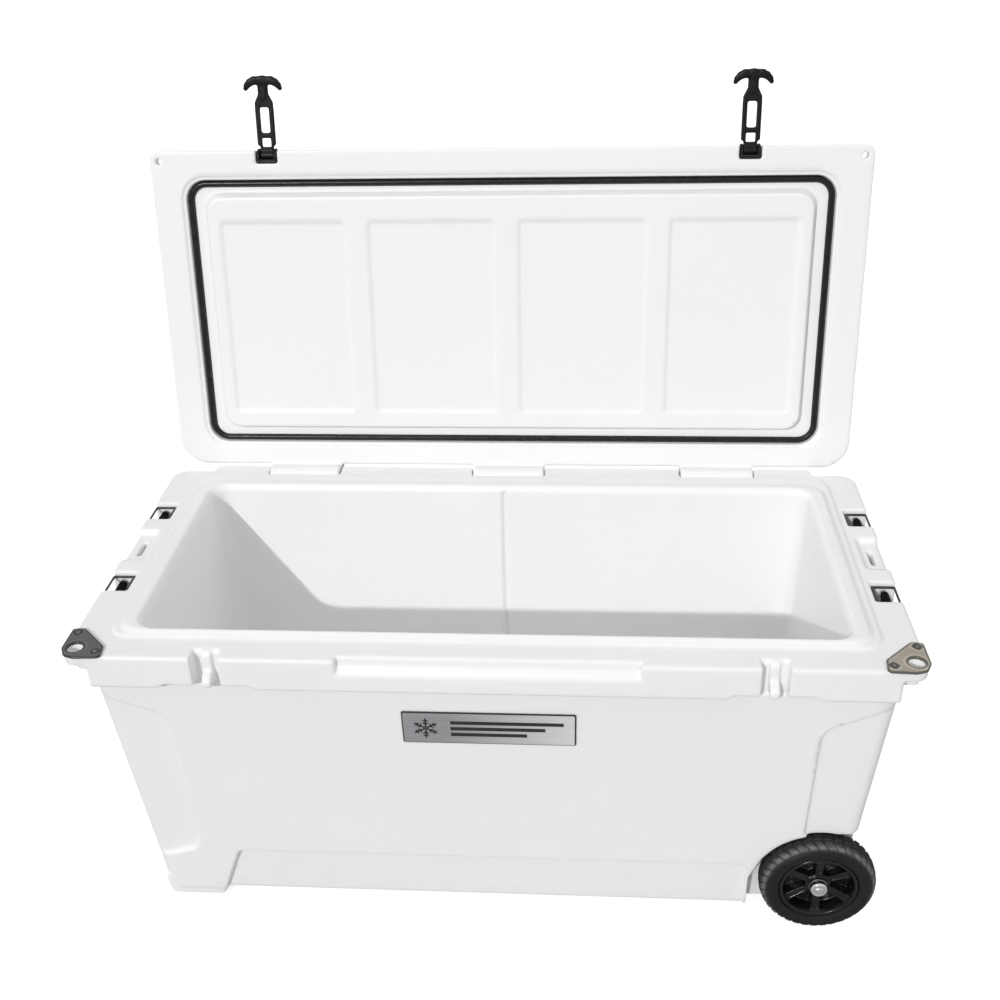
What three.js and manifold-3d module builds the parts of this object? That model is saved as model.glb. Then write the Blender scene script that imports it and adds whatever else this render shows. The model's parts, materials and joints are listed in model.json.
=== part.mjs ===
// Wheeled, double-walled, foam-filled cooler chest with a hinged lid, shown with the lid open.
// Millimetres, +Z up, +X along the length towards the wheels (right), -Y towards the front.
// Heights in this file count from a datum 8 mm below the tub's flat underside. The exported group
// is lowered by UNDERSIDE, so the finished part's origin is the centre of that underside.
import * as THREE from 'three';
import { mergeVertices } from 'three/addons/utils/BufferGeometryUtils.js';
import Module from 'manifold-3d';

const wasm = await Module();
wasm.setup();

// ================================================================ DRIVING DIMENSIONS
// Rectangles are [x0, x1, y0, y1]; outlines are lists of [x, y] points, in the plane they name.
const rect = (halfX, halfY) => [-halfX, halfX, -halfY, halfY];

const UNDERSIDE = 8;                            // tub's flat bottom
const FLOOR = -7;                               // ground the wheels and feet stand on
const RIM_X = 500, RIM_Y = 232;                 // flange half sizes
const RIM_TOP = 432, RIM_BOTTOM = 386;
const WALL_TOP = { x: 480, y: 217, z: 386 };    // outer wall half sizes just under the flange
const WALL_BOTTOM = { x: 454.5, y: 189, z: 14 };
const PLATEAU_Z = 435, LIP_Z = 439.5;           // two steps of the sealing lip
const CAVITY_TOP = [-425, 425, -178, 173];
const CAVITY_BOTTOM = [-409, 409, -156, 152];
const CAVITY_FLOOR = 90;
const CAVITY_BEND_Z = CAVITY_FLOOR + 14;        // where the cavity wall turns in to the floor
const FILL_X = -180;                            // filling hole in the tub's underside
const FOAM_GAP = 0.4;                           // clearance round the foam and the lid's fill plug

const HINGE_Y = 237, HINGE_Z = 423;
const LID_OPEN = 98.8;                          // degrees
const ROD_RADIUS = 4, ROD_BORE = 4.35;
const KNUCKLES = [-304, 0, 304];                // centres of the lid's knuckles on the rod
const KNUCKLE_HALF = 52;
const KNUCKLE_NOTCH = KNUCKLE_HALF + 1.2;       // half length of the tub's notch for a knuckle
const BARREL_END = 440;

// lid, shut
const LID_X = 495, LID_FRONT = -231, LID_BACK = 225;
const LID_UNDER = 436;
const LID_TOP = LID_UNDER + 50;
const LID_PLUG = [-422, 422, -172, 167];        // raised middle of the underside
const LID_PLUG_RADIUS = 22;
const GASKET = [-448, 448, -190.5, 189.5];
const GASKET_RADIUS = 28;
const LID_FILL_HOLE = [139, 161, LID_UNDER + 19, LID_UNDER + 36];   // in X-Z, rear edge
const LID_FILL_RADIUS = 8;

const LATCH_X = 330, LATCH_Y = -223, LATCH_Z = LID_UNDER + 12;      // latch pins, lid shut
const LATCH_BORE = 2.75;

const WHEEL_X = 416, WHEEL_RADIUS = 74.5, WHEEL_W = 42;
const WHEEL_Z = FLOOR + WHEEL_RADIUS;
const WHEEL_FACE = 214;                         // outer face of the wheel, in Y
const WELL_RADIUS = 78, WELL_Y = 169, WELL_LEFT = 330;
const AXLE_RADIUS = 6, AXLE_BORE = 6.4;

const HANDLE_X = 485.5, HANDLE_Y = 20, HANDLE_Z = 417.5;            // handle pins
const HANDLE_SPAN = 90;                         // from the handle's middle to each strap
const GRIP_Z = HANDLE_Z - 81.5;
const HANDLE_ENDS = [['front', HANDLE_Y - HANDLE_SPAN], ['back', HANDLE_Y + HANDLE_SPAN]];

const DRAIN_Z = 108;
const BADGE = rect(105, 25.5);
const BADGE_X = -0.5, BADGE_Z = 322;

const PADLOCK_X = 486, PADLOCK_Y = -217.5;      // padlock hole in the flange and corner plate
const PLATE_SCREWS = [[493, -187.5], [459.5, -224]];                // right-hand corner

const SIGNS = [-1, 1];
const SIDES = [['left', -1], ['right', 1]];     // in X
const FACES = [['front', -1], ['back', 1]];     // in Y

// ================================================================ MATERIALS
const WHITE = { color: 0xf2f2f1, roughness: 0.45, metalness: 0 };
const FOAM = { color: 0xe9d9a6, roughness: 0.95, metalness: 0 };
const STEEL = { color: 0xb9b6ae, roughness: 0.28, metalness: 1 };
const BLACK = { color: 0x17181a, roughness: 0.6, metalness: 0 };
const TYRE = { color: 0x2b2b2c, roughness: 0.85, metalness: 0 };
const CHROME = { color: 0xdedede, roughness: 0.1, metalness: 1 };
const ALUMINIUM = { color: 0xb4b6b8, roughness: 0.35, metalness: 1 };
const WEBBING = { color: 0x141414, roughness: 0.9, metalness: 0 };
const RUBBER = { color: 0x1b1d20, roughness: 0.5, metalness: 0 };

// ================================================================ HELPERS
const DEG = Math.PI / 180;
const QUARTER = 90 * DEG;

// number ranges, outlines and rectangles
const around = (centre, half) => [centre - half, centre + half];
const sideSpan = (sign, inner, outer) => (sign < 0 ? [-outer, -inner] : [inner, outer]);
const mirrorX = (outline, sign) => outline.map(([x, y]) => [sign * x, y]);
const grow = ([x0, x1, y0, y1], dx, dy = dx) => [x0 - dx, x1 + dx, y0 - dy, y1 + dy];

// rounded rectangle; radii are one number or [front-left, front-right, back-right, back-left]
function rounded([x0, x1, y0, y1], radii, segments = 4) {
  const [fl, fr, br, bl] = Array.isArray(radii) ? radii : Array(4).fill(radii);
  const corners = [                             // arc centre, radius, start angle
    [x0 + fl, y0 + fl, fl, 180],
    [x1 - fr, y0 + fr, fr, 270],
    [x1 - br, y1 - br, br, 0],
    [x0 + bl, y1 - bl, bl, 90],
  ];
  return corners.flatMap(([x, y, radius, start]) => {
    if (radius === 0) return [[x, y]];
    return Array.from({ length: segments + 1 }, (_, i) => {
      const angle = (start + 90 * i / segments) * DEG;
      return [x + radius * Math.cos(angle), y + radius * Math.sin(angle)];
    });
  });
}

// solids and booleans; pieces may be geometries or manifolds
function asSolid(piece) {
  if (!piece.isBufferGeometry) return piece;
  const bare = piece.clone();
  bare.deleteAttribute('normal');
  bare.deleteAttribute('uv');
  const merged = mergeVertices(bare, 1e-4);
  return new wasm.Manifold(new wasm.Mesh({
    numProp: 3,
    vertProperties: new Float32Array(merged.attributes.position.array),
    triVerts: new Uint32Array(merged.index.array),
  }));
}
function asGeometry(piece) {
  if (piece.isBufferGeometry) return piece;
  const { vertProperties, triVerts, numProp } = piece.getMesh();
  const positions = new Float32Array(triVerts.length * 3);
  triVerts.forEach((vertex, i) => {
    for (let k = 0; k < 3; k++) positions[3 * i + k] = vertProperties[vertex * numProp + k];
  });
  const geometry = new THREE.BufferGeometry();
  geometry.setAttribute('position', new THREE.BufferAttribute(positions, 3));
  geometry.computeVertexNormals();
  return geometry;
}
const join = (first, ...rest) => rest.reduce((sum, p) => sum.add(asSolid(p)), asSolid(first));
const cut = (first, ...rest) => rest.reduce((left, p) => left.subtract(asSolid(p)), asSolid(first));

// prisms along each axis: prismX takes a Y-Z outline, prismY an X-Z one, prismZ an X-Y one
const polygon = (outline) => new THREE.Shape(outline.map(([x, y]) => new THREE.Vector2(x, y)));
function extrude(outline, depth, holes = []) {
  const shape = polygon(outline);
  shape.holes = holes.map(polygon);
  return new THREE.ExtrudeGeometry(shape, { depth, bevelEnabled: false });
}
const prismX = (outline, x0, x1) =>
  extrude(outline, x1 - x0).rotateX(QUARTER).rotateZ(QUARTER).translate(x0, 0, 0);
const prismY = (outline, y0, y1) => extrude(outline, y1 - y0).rotateX(QUARTER).translate(0, y1, 0);
const prismZ = (outline, z0, z1, holes) => extrude(outline, z1 - z0, holes).translate(0, 0, z0);

const box = (x0, x1, y0, y1, z0, z1) => new THREE.BoxGeometry(x1 - x0, y1 - y0, z1 - z0)
  .translate((x0 + x1) / 2, (y0 + y1) / 2, (z0 + z1) / 2);

// cylinders along each axis
const rodX = (radius, y, z, x0, x1, segments = 16) =>
  new THREE.CylinderGeometry(radius, radius, x1 - x0, segments)
    .rotateZ(QUARTER).translate((x0 + x1) / 2, y, z);
const rodY = (radius, x, z, y0, y1, segments = 16) =>
  new THREE.CylinderGeometry(radius, radius, y1 - y0, segments).translate(x, (y0 + y1) / 2, z);
const rodZ = (radius, x, y, z0, z1, segments = 16) =>
  new THREE.CylinderGeometry(radius, radius, z1 - z0, segments)
    .rotateX(QUARTER).translate(x, y, (z0 + z1) / 2);

// turned piece about +Z from a profile of [radius, axial] pairs
const turned = (profile, segments = 16) =>
  new THREE.LatheGeometry(profile.map(([r, a]) => new THREE.Vector2(r, a)), segments)
    .rotateX(QUARTER);

// rounded block whose outline fits the rectangle `top` at topZ and is stretched to `bottom`
function drafted(top, topZ, bottom, bottomZ, radii, segments = 4) {
  const geometry = prismZ(rounded(top, radii, segments), bottomZ, topZ);
  const points = geometry.attributes.position;
  const stretch = (value, k, t) => {            // k: index of the axis's low side
    const low = bottom[k] + (top[k] - bottom[k]) * t;
    const high = bottom[k + 1] + (top[k + 1] - bottom[k + 1]) * t;
    return low + (high - low) * (value - top[k]) / (top[k + 1] - top[k]);
  };
  for (let i = 0; i < points.count; i++) {
    const t = (points.getZ(i) - bottomZ) / (topZ - bottomZ);
    points.setXY(i, stretch(points.getX(i), 0, t), stretch(points.getY(i), 2, t));
  }
  return geometry;
}

// rounded rectangular ring
const ring = (outer, outerRadius, inner, innerRadius, z0, z1) =>
  cut(prismZ(rounded(outer, outerRadius), z0, z1),
    prismZ(rounded(inner, innerRadius), z0 - 1, z1 + 1));

// the tub's drafted outer wall: half sizes at a height, and an inset block between two heights
const wallHalf = (axis, z) => WALL_BOTTOM[axis]
  + (WALL_TOP[axis] - WALL_BOTTOM[axis]) * (z - WALL_BOTTOM.z) / (WALL_TOP.z - WALL_BOTTOM.z);
function wallBlock(insetX, insetY, radius, z0, z1) {
  const outlineAt = (z) => rect(wallHalf('x', z) - insetX, wallHalf('y', z) - insetY);
  return drafted(outlineAt(z1), z1, outlineAt(z0), z0, radius);
}

// ================================================================ GROUPS
const group = new THREE.Group();
group.position.z = -UNDERSIDE;
const lidHinge = new THREE.Group();             // turns about the hinge rod
lidHinge.position.set(0, HINGE_Y, HINGE_Z);
lidHinge.rotation.x = -LID_OPEN * DEG;
const lid = new THREE.Group();                  // lid pieces are drawn shut
lid.position.set(0, -HINGE_Y, -HINGE_Z);
lidHinge.add(lid);
group.add(lidHinge);

function addMesh(name, piece, look, parent = group) {
  const mesh = new THREE.Mesh(asGeometry(piece), new THREE.MeshStandardMaterial(look));
  mesh.name = name;
  parent.add(mesh);
}

// ================================================================ TUB
function tubFlange() {
  let flange = prismZ(rounded(rect(RIM_X, RIM_Y), [16, 16, 22, 22]), RIM_BOTTOM, RIM_TOP);
  // X ranges where the lower edge steps up around the latch keepers
  for (const [sign, x0, x1] of [[-1, -391, -272], [1, 276, 386]]) {
    const step = [[x0, 380], [x1, 380], [x1, 386], [x1 - 9, 392], [x0 + 9, 392], [x0, 386]];
    flange = cut(flange,
      // thin ear under the front corner plate, so a padlock shackle can pass
      box(...sideSpan(sign, 472, 520), -260, -198, 380, 417),
      prismY(step, -250, -219));
  }
  // end pockets, open outwards: handle notches, then the tie-down recess and its slot
  for (const sign of SIGNS) {
    for (const [, y] of HANDLE_ENDS) {
      flange = cut(flange,
        box(...sideSpan(sign, 467, 510), ...around(y, 21), 424, 440),
        box(...sideSpan(sign, 472, 510), ...around(y, 18), 370, 430));
    }
    const slot = [...around(sign * 484.5, 3), ...around(HANDLE_Y, 17)];
    flange = cut(flange,
      box(...sideSpan(sign, 471, 510), ...around(HANDLE_Y, 36), 424, 440),
      prismZ(rounded(slot, 2.9, 3), 370, 440));
  }
  return flange;
}

function tubBody() {
  // X-Z outlines of the front and back wall recesses
  const BAND = [[-341, 88], [326, 88], [326, 0], [-374, 0]];
  const CORNER_LEFT = [
    [-520, 378], [-459, 355], [-403, 333], [-396, 324], [-391, 108], [-398, 91], [-449, 74],
    [-520, 62],
  ];
  const CORNER_RIGHT = [
    [520, 378], [462, 359], [404, 332], [394, 317], [392, 150], [400, 141], [520, 141],
  ];
  const bandBack = asSolid(wallBlock(7, 7, 13, 0, 420));
  const panelBack = asSolid(wallBlock(0, 6, 20, 0, 420));   // set back from front and back only

  let body = asSolid(wallBlock(0, 0, 26, UNDERSIDE, RIM_BOTTOM + 8));
  // shallow bay in each end wall where the grip hangs
  const bay = rounded([...around(HANDLE_Y, 122), 296, 400], [14, 14, 0, 0], 3);
  for (const sign of SIGNS) body = cut(body, prismX(bay, ...sideSpan(sign, 468, 520)));
  // band between the left feet and the wheel wells
  for (const sign of SIGNS) {
    body = cut(body, cut(prismY(BAND, ...sideSpan(sign, 120, 260)), bandBack));
  }
  // set-back panels at the four upright corners, running out to nothing at the ends
  for (const sign of SIGNS) {
    for (const outline of [CORNER_LEFT, CORNER_RIGHT]) {
      body = cut(body, cut(prismY(outline, ...sideSpan(sign, 150, 260)), panelBack));
    }
  }
  return body;
}

// feet under the left end, front and back
function tubFeet() {
  const FOOT = [[-452, 14], [-448, 0], [-444, -3], [-375, -3], [-368.5, 14]];   // X-Z
  return SIGNS.map((sign) => prismY(FOOT, ...sideSpan(sign, 143, 187.5)));
}

// fixed hinge barrels behind the flange, filling the lengths between the knuckle notches
function hingeBarrels() {
  const BARREL = [                              // Y-Z
    [222, 396], [222, 431], [247, 432], [251.5, 428], [253, 422], [251.5, 415.5],
    [247, 410.5], [240, 407.5], [230, 400],
  ];
  const starts = [-BARREL_END, ...KNUCKLES.map((x) => x + KNUCKLE_NOTCH)];
  const ends = [...KNUCKLES.map((x) => x - KNUCKLE_NOTCH), BARREL_END];
  return starts.map((x, i) => prismX(BARREL, x, ends[i]));
}

// cavity with its divider grooves
function tubCavity() {
  const bend = grow(CAVITY_BOTTOM, 0.4);
  const groove = ([, , y0, y1]) => [-6, 0, y0 - 4, y1 + 4];
  return join(
    drafted(CAVITY_TOP, LIP_Z + 3, bend, CAVITY_BEND_Z, 30),
    drafted(bend, CAVITY_BEND_Z + 0.2, grow(CAVITY_BOTTOM, -12), CAVITY_FLOOR, 30),
    drafted(groove(CAVITY_TOP), LIP_Z - 8, groove(CAVITY_BOTTOM), CAVITY_BEND_Z, 2.4, 2));
}

// a notch through the flange at each latch, with a hooked post standing in it
function withLatchKeepers(tub) {
  // Y-Z outlines
  const NOTCH = [[-208, 436], [-214, 428], [-214, 385.8], [-245, 385.8], [-245, 436]];
  const POST = [
    [-212, 431], [-212, 389], [-231, 389], [-233.5, 391], [-233.5, 398], [-229, 403.5],
    [-219.8, 407], [-219.8, 425], [-216, 431],
  ];
  const RIB = [[-212, 392], [-212, 385.5], [-226, 385.5], [-228.5, 389], [-228.5, 392]];
  return SIGNS.reduce((result, sign) => {
    const x = sign * LATCH_X;
    return join(
      cut(result, prismX(NOTCH, ...around(x, 16))),
      prismX(POST, ...around(x, 5.8)),
      prismX(RIB, ...around(x, 3.2)));
  }, tub);
}

// padlock hole and plate screw holes in the front corners
const cornerHoles = () => SIGNS.flatMap((sign) => [
  rodZ(8.4, sign * PADLOCK_X, PADLOCK_Y, 400, 440, 12),
  ...PLATE_SCREWS.map(([x, y]) => rodZ(1.9, sign * x, y, 419.5, 440, 8)),
]);

function wheelWells() {
  const WELL = [                                // X-Z
    [WELL_LEFT, -20], [WELL_LEFT, 64], [349, 112], [530, 112], [530, -20],
  ];
  return SIGNS.flatMap((sign) => {
    const span = sideSpan(sign, WELL_Y, 270);
    return [
      rodY(WELL_RADIUS, WHEEL_X, WHEEL_Z, ...span, 32),
      prismY(WELL, ...span),
      box(WHEEL_X, 530, ...span, 40, WHEEL_Z + 76),
    ];
  });
}

// notches for the lid's knuckles, and the rod's bore
const hingeCuts = () => [
  ...KNUCKLES.map((x) => box(...around(x, KNUCKLE_NOTCH), 218.5, 270, 402, 445)),
  rodX(ROD_BORE, HINGE_Y, HINGE_Z, -445, 445, 12),
];

const handlePinHoles = () => SIGNS.flatMap((sign) => HANDLE_ENDS.map(([, y]) =>
  rodY(3.4, sign * HANDLE_X, HANDLE_Z, ...around(y, 23.5), 10)));

// drain bore with spot faces outside and inside
const drainCuts = () => [
  rodX(11.4, 0, DRAIN_Z, -470, -400, 12),
  rodX(21, 0, DRAIN_Z, -480, -450, 16),
  rodX(17, 0, DRAIN_Z, -412, -400, 12),
];

// space between the walls, shrunk by a gap on every side
function tubVoid(gap) {
  const outside = drafted(
    rect(464 - gap, 205 - gap), 424 - gap, rect(433 - gap, 173 - gap), 20 + gap, 18, 3);
  const liner = drafted(
    grow(CAVITY_TOP, 6 + gap, 9 + gap), 440,
    grow(CAVITY_BOTTOM, 5 + gap, 9 + gap), CAVITY_FLOOR - 6 - gap, 34, 3);
  const wells = SIGNS.map((sign) =>
    box(WELL_LEFT - 9 - gap, 520, ...sideSpan(sign, WELL_Y - 8 - gap, 260), -10, 165 + gap));
  return cut(outside, liner, ...wells,
    box(WHEEL_X - 16 - gap, 520, -260, 260, -10, 92 + gap),     // around the axle
    rodX(26 + gap, 0, DRAIN_Z, -480, -405, 20));                // around the drain
}

function tubShell() {
  const FINGER_SCOOP = [                        // Y-Z, flange's front top edge
    [-221.5, 436], [-223.5, 420.5], [-234, 410], [-240, 410], [-240, 436],
  ];
  const raised = join(tubBody(), tubFlange(),
    prismZ(rounded([-457.5, 457.5, -193, 219], 27), RIM_TOP - 4, PLATEAU_Z),
    drafted([-445, 445, -186, 188], LIP_Z, [-450, 450, -190, 192], PLATEAU_Z - 4, 26),
    ...tubFeet(), ...hingeBarrels());
  const hollow = cut(raised, tubCavity(), prismX(FINGER_SCOOP, -175, 178));
  return cut(withLatchKeepers(hollow),
    ...cornerHoles(),
    ...wheelWells(),
    rodY(AXLE_BORE, WHEEL_X, WHEEL_Z, -200, 200),
    ...hingeCuts(),
    ...handlePinHoles(),
    ...drainCuts(),
    tubVoid(0),
    rodZ(16, FILL_X, 0, 0, 30, 20));            // filling hole
}

function tubFillPlug() {
  const PROFILE = [[0, 8.6], [14.5, 8.6], [15.6, 9.8], [15.6, 12.6], [0, 12.6]];
  return asSolid(turned(PROFILE, 20)).translate([FILL_X, 0, 0]);
}

// ================================================================ TUB FITTINGS
// front corner plates, bottle-opener style, with countersunk screws
function addCornerPlate(side, sign) {
  const PLATE = [                               // X-Y, right-hand corner
    [502, -180], [487, -179], [453, -213], [450.5, -232], [454, -236], [482, -237.5],
    [495, -233.5], [502, -219],
  ];
  // [radius, height above the flange]
  const COUNTERSINK = [[0, -1], [2.6, -1], [2.6, 0.9], [5.2, 4.2], [0, 4.2]];
  const SCREW = [[0, -11.5], [1.5, -10.5], [1.5, 0.7], [4.1, 3.2], [0, 3.4]];
  const atScrew = (profile, [x, y]) =>
    turned(profile.map(([r, h]) => [r, RIM_TOP + h]), 10).translate(sign * x, y, 0);

  addMesh(`corner_plate_${side}`, cut(
    prismZ(mirrorX(PLATE, sign), RIM_TOP + 0.3, RIM_TOP + 3.2),
    rodZ(9.3, sign * PADLOCK_X, PADLOCK_Y, 420, 440, 16),
    ...PLATE_SCREWS.map((place) => atScrew(COUNTERSINK, place))), STEEL);
  PLATE_SCREWS.forEach((place, i) =>
    addMesh(`corner_screw_${side}_${i + 1}`, atScrew(SCREW, place), STEEL));
}

// badge, laid against the sloping front wall
function addBadge() {
  const tilt = Math.atan((WALL_TOP.y - WALL_BOTTOM.y) / (WALL_TOP.z - WALL_BOTTOM.z));
  // out0, out1: distances out from the wall
  const layer = (outline, out0, out1) => prismZ(outline, out0, out1)
    .rotateX(QUARTER + tilt).translate(BADGE_X, -wallHalf('y', BADGE_Z), BADGE_Z);
  addMesh('badge_backing', layer(rounded(BADGE, 2, 2), 0.3, 1.5), BLACK);
  addMesh('badge_plate', layer(rounded(grow(BADGE, -2.2), 1.5, 2), 1.8, 2.6), ALUMINIUM);
}

// drain: bushing through the left wall, seal, and plug with a cross blade
function addDrain() {
  // profiles of [radius, distance towards -X]
  const SLEEVE = [
    [8, 410], [11, 410], [11, 450.4], [19, 450.4], [19, 453.4], [18, 454.4], [8, 454.4], [8, 410],
  ];
  const INNER_FLANGE = [
    [8, 408.8], [15, 408.8], [16, 409.8], [16, 411.7], [8, 411.7], [8, 408.8],
  ];
  const SEAL = [[8.4, 454.8], [12.5, 454.8], [12.5, 456.8], [8.4, 456.8], [8.4, 454.8]];
  const PLUG = [
    [0, 424], [6.4, 424], [7.5, 426], [7.5, 457.2], [17, 457.2], [17, 463], [15.5, 464.5],
    [0, 464.5],
  ];
  const drainPart = (profile) => turned(profile, 14).rotateY(-QUARTER).translate(0, 0, DRAIN_Z);
  addMesh('drain_bushing', join(drainPart(SLEEVE), drainPart(INNER_FLANGE)), BLACK);
  addMesh('drain_seal', drainPart(SEAL), RUBBER);
  const blade = box(-474, -463.5, -3.5, 3.5, ...around(DRAIN_Z, 14));
  addMesh('drain_plug', join(drainPart(PLUG), blade), BLACK);
}

// ---------------------------------------------------------------- carry handles
const STRAP_HALF = 15;
const PIN_LOOP = { inner: 3.5, outer: 5.5, z: HANDLE_Z };
const GRIP_LOOP = { inner: 7.6, outer: 10.2, z: GRIP_Z };

// webbing looped over the pin and under the grip's neck, drawn at X = Y = 0
function handleStrap() {
  const WEB = [                                 // X-Z
    [-5.3, HANDLE_Z - 1.5], [-2.6, HANDLE_Z - 13], [-2.6, GRIP_Z + 20], [-9.8, GRIP_Z + 3],
    [9.8, GRIP_Z + 3], [2.6, GRIP_Z + 20], [2.6, HANDLE_Z - 13], [5.3, HANDLE_Z - 1.5],
  ];
  const eye = ({ inner, z }) => rodY(inner, 0, z, ...around(0, STRAP_HALF + 1), 12);
  const loop = (at) => cut(rodY(at.outer, 0, at.z, ...around(0, STRAP_HALF), 12), eye(at));
  const web = cut(prismY(WEB, ...around(0, STRAP_HALF)), eye(PIN_LOOP), eye(GRIP_LOOP));
  return join(web, loop(PIN_LOOP), loop(GRIP_LOOP));
}

function handleGrip(sign) {
  const FRONT_HALF = [                          // [radius, offset from the front strap's middle]
    [0, -23], [9, -23], [11.5, -21], [11.5, -16], [7.1, -16], [7.1, 16], [11, 16], [14, 22],
  ].map(([r, offset]) => [r, offset - HANDLE_SPAN]);
  const backHalf = FRONT_HALF.map(([r, a]) => [r, -a]).reverse();
  return turned([...FRONT_HALF, ...backHalf], 12)
    .rotateX(-QUARTER).translate(sign * HANDLE_X, HANDLE_Y, GRIP_Z);
}

function addHandle(side, sign) {
  const x = sign * HANDLE_X;
  for (const [end, y] of HANDLE_ENDS) {
    const outer = [...around(sign * 483.5, 15.5), ...around(y, 20)];
    const opening = [...around(x, 7.8), ...around(y, 16.2)];
    addMesh(`handle_frame_${side}_${end}`, cut(
      prismZ(rounded(outer, 2.5, 2), 424.4, 427),
      prismZ(rounded(opening, 2, 2), 420, 430)), STEEL);
    addMesh(`handle_pin_${side}_${end}`, rodY(3, x, HANDLE_Z, ...around(y, 23), 10), STEEL);
    addMesh(`handle_strap_${side}_${end}`, handleStrap().translate([x, y, 0]), WEBBING);
  }
  addMesh(`handle_grip_${side}`, handleGrip(sign), BLACK);
}

// ---------------------------------------------------------------- wheels
// profiles are [radius, distance out from the wheel's inner face]
const HUB_BORE = 9.4;
const TYRE_PROFILE = [
  [50.8, 3], [55, 1], [61, 0], [66.5, 2.5], [71.5, 6], [WHEEL_RADIUS, 15],
  [WHEEL_RADIUS, WHEEL_W - 15], [71.5, WHEEL_W - 6], [66.5, WHEEL_W - 2.5], [61, WHEEL_W],
  [55, WHEEL_W - 1], [50.8, WHEEL_W - 3], [50.8, 3],
];
const RIM_PROFILE = [
  [43, 7], [47.5, 5], [50.4, 5], [50.4, WHEEL_W - 5], [49, WHEEL_W - 2.5], [45, WHEEL_W - 4],
  [43, WHEEL_W - 9], [43, 7],
];
const HUB_PROFILE = [
  [HUB_BORE, 1], [15, 1], [17, 8], [17, WHEEL_W - 12], [14.5, WHEEL_W - 9.5],
  [HUB_BORE, WHEEL_W - 9.5], [HUB_BORE, 1],
];
const SPOKE = [[14, WHEEL_W - 22], [45, WHEEL_W - 20], [45, WHEEL_W - 8], [14, WHEEL_W - 11]];
const NUT_PROFILE = [
  [6.35, WHEEL_W - 6.7], [11.5, WHEEL_W - 6.7], [12, WHEEL_W - 4.5], [11.2, WHEEL_W - 0.8],
  [8.5, WHEEL_W + 1.6], [4, WHEEL_W + 2.8], [0, WHEEL_W + 3], [0, WHEEL_W - 3.4],
  [6.35, WHEEL_W - 3.4], [6.35, WHEEL_W - 6.7],
];
const sleeve = (inner, outer, a0, a1) =>
  turned([[inner, a0], [outer, a0], [outer, a1], [inner, a1], [inner, a0]]);

function wheelRim() {
  const spokes = Array.from({ length: 6 }, (_, i) =>
    asSolid(prismY(SPOKE, -5, 5)).rotate([0, 0, 60 * i + 30]));
  return cut(
    join(turned(RIM_PROFILE, 24), turned(HUB_PROFILE), ...spokes),
    rodZ(HUB_BORE, 0, 0, -5, WHEEL_W + 5));
}

function addWheel(face, sign) {
  const add = (name, piece, look) => addMesh(`${name}_${face}`, asGeometry(piece)
    .rotateX(-sign * QUARTER)
    .translate(WHEEL_X, sign * (WHEEL_FACE - WHEEL_W), WHEEL_Z), look);
  add('tyre', turned(TYRE_PROFILE, 32), TYRE);
  add('wheel_rim', wheelRim(), BLACK);
  add('wheel_bushing', sleeve(6.35, 9.05, 0.6, WHEEL_W - 9.1), BLACK);
  add('axle_washer', sleeve(6.35, 12, WHEEL_W - 8.7, WHEEL_W - 7.1), STEEL);
  add('axle_nut', turned(NUT_PROFILE), CHROME);
}

// rubber pads under the left end's feet
function addRubberFoot(face, sign) {
  const pad = rounded([-438, -382, ...sideSpan(sign, 147, 175)], 6, 3);
  addMesh(`rubber_foot_${face}`, prismZ(pad, FLOOR, FLOOR + 3.7), RUBBER);
}

function addHingeRodCap(side, sign) {
  const CAP = [                                 // [radius, distance from X = 0]
    [0, 433.6], [4, 433.8], [4, 440.4], [4.6, 440.4], [4.6, 442.6], [0, 443.4],
  ];
  const cap = turned(CAP, 12).rotateY(sign * QUARTER).translate(0, HINGE_Y, HINGE_Z);
  addMesh(`hinge_rod_cap_${side}`, cap, BLACK);
}

// ================================================================ LID, DRAWN SHUT
// the lid's outline, set in at the ends, front and back
const lidRect = (ends, front, back) =>
  [-LID_X + ends, LID_X - ends, LID_FRONT + front, LID_BACK - back];

// main block, and the crown above it, with a shallow recess in the top face
const lidBlock = () => cut(
  join(
    drafted(lidRect(2, 3.5, 1), LID_UNDER + 38, lidRect(0, 0, 0), LID_UNDER, [10, 10, 39, 39]),
    drafted(lidRect(12, 14, 11), LID_TOP, lidRect(3.5, 5, 2), LID_UNDER + 37, [6, 6, 30, 30])),
  drafted(rect(424, 172), LID_TOP + 2, rect(418, 166), LID_TOP - 3, 24));

// stepped seal channel around the plug, the plug itself, and four shallow pockets in its face
function withLidPlug(block) {
  const POCKETS = [[-401, -225], [-193, -17], [17, 193], [225, 401]];   // X ranges
  const channel = (outer, radius, depth) =>
    ring(outer, radius, LID_PLUG, LID_PLUG_RADIUS, LID_UNDER - 5, LID_UNDER + depth);
  const channelled = cut(block,
    channel(grow(GASKET, 6), 33, 2.5),
    channel(grow(GASKET, 0.7), GASKET_RADIUS + 0.7, 9.5));
  const plug = drafted(
    LID_PLUG, LID_UNDER + 9.6, grow(LID_PLUG, -3.5), LID_UNDER - 8, LID_PLUG_RADIUS);
  return cut(join(channelled, plug), ...POCKETS.map(([x0, x1]) => {
    const mouth = [x0, x1, -135, 140];
    return drafted(grow(mouth, -2), LID_UNDER - 5.5, mouth, LID_UNDER - 9, 5, 2);
  }));
}

// front corners thinned from above, each with a padlock hole
function padlockCuts() {
  const CORNER = [[458, -260], [520, -260], [520, -200], [470, -200], [458, -215]];   // X-Y
  return SIGNS.flatMap((sign) => [
    prismZ(mirrorX(CORNER, sign), LID_UNDER + 15, LID_TOP + 10),
    rodZ(4.2, sign * 482, -216.5, LID_UNDER - 5, LID_UNDER + 20),
  ]);
}

// bays in the front edge
const latchBays = () => SIGNS.map((sign) =>
  box(...around(sign * LATCH_X, 15), -250, -213, LID_UNDER - 5, LID_UNDER + 37));

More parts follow.
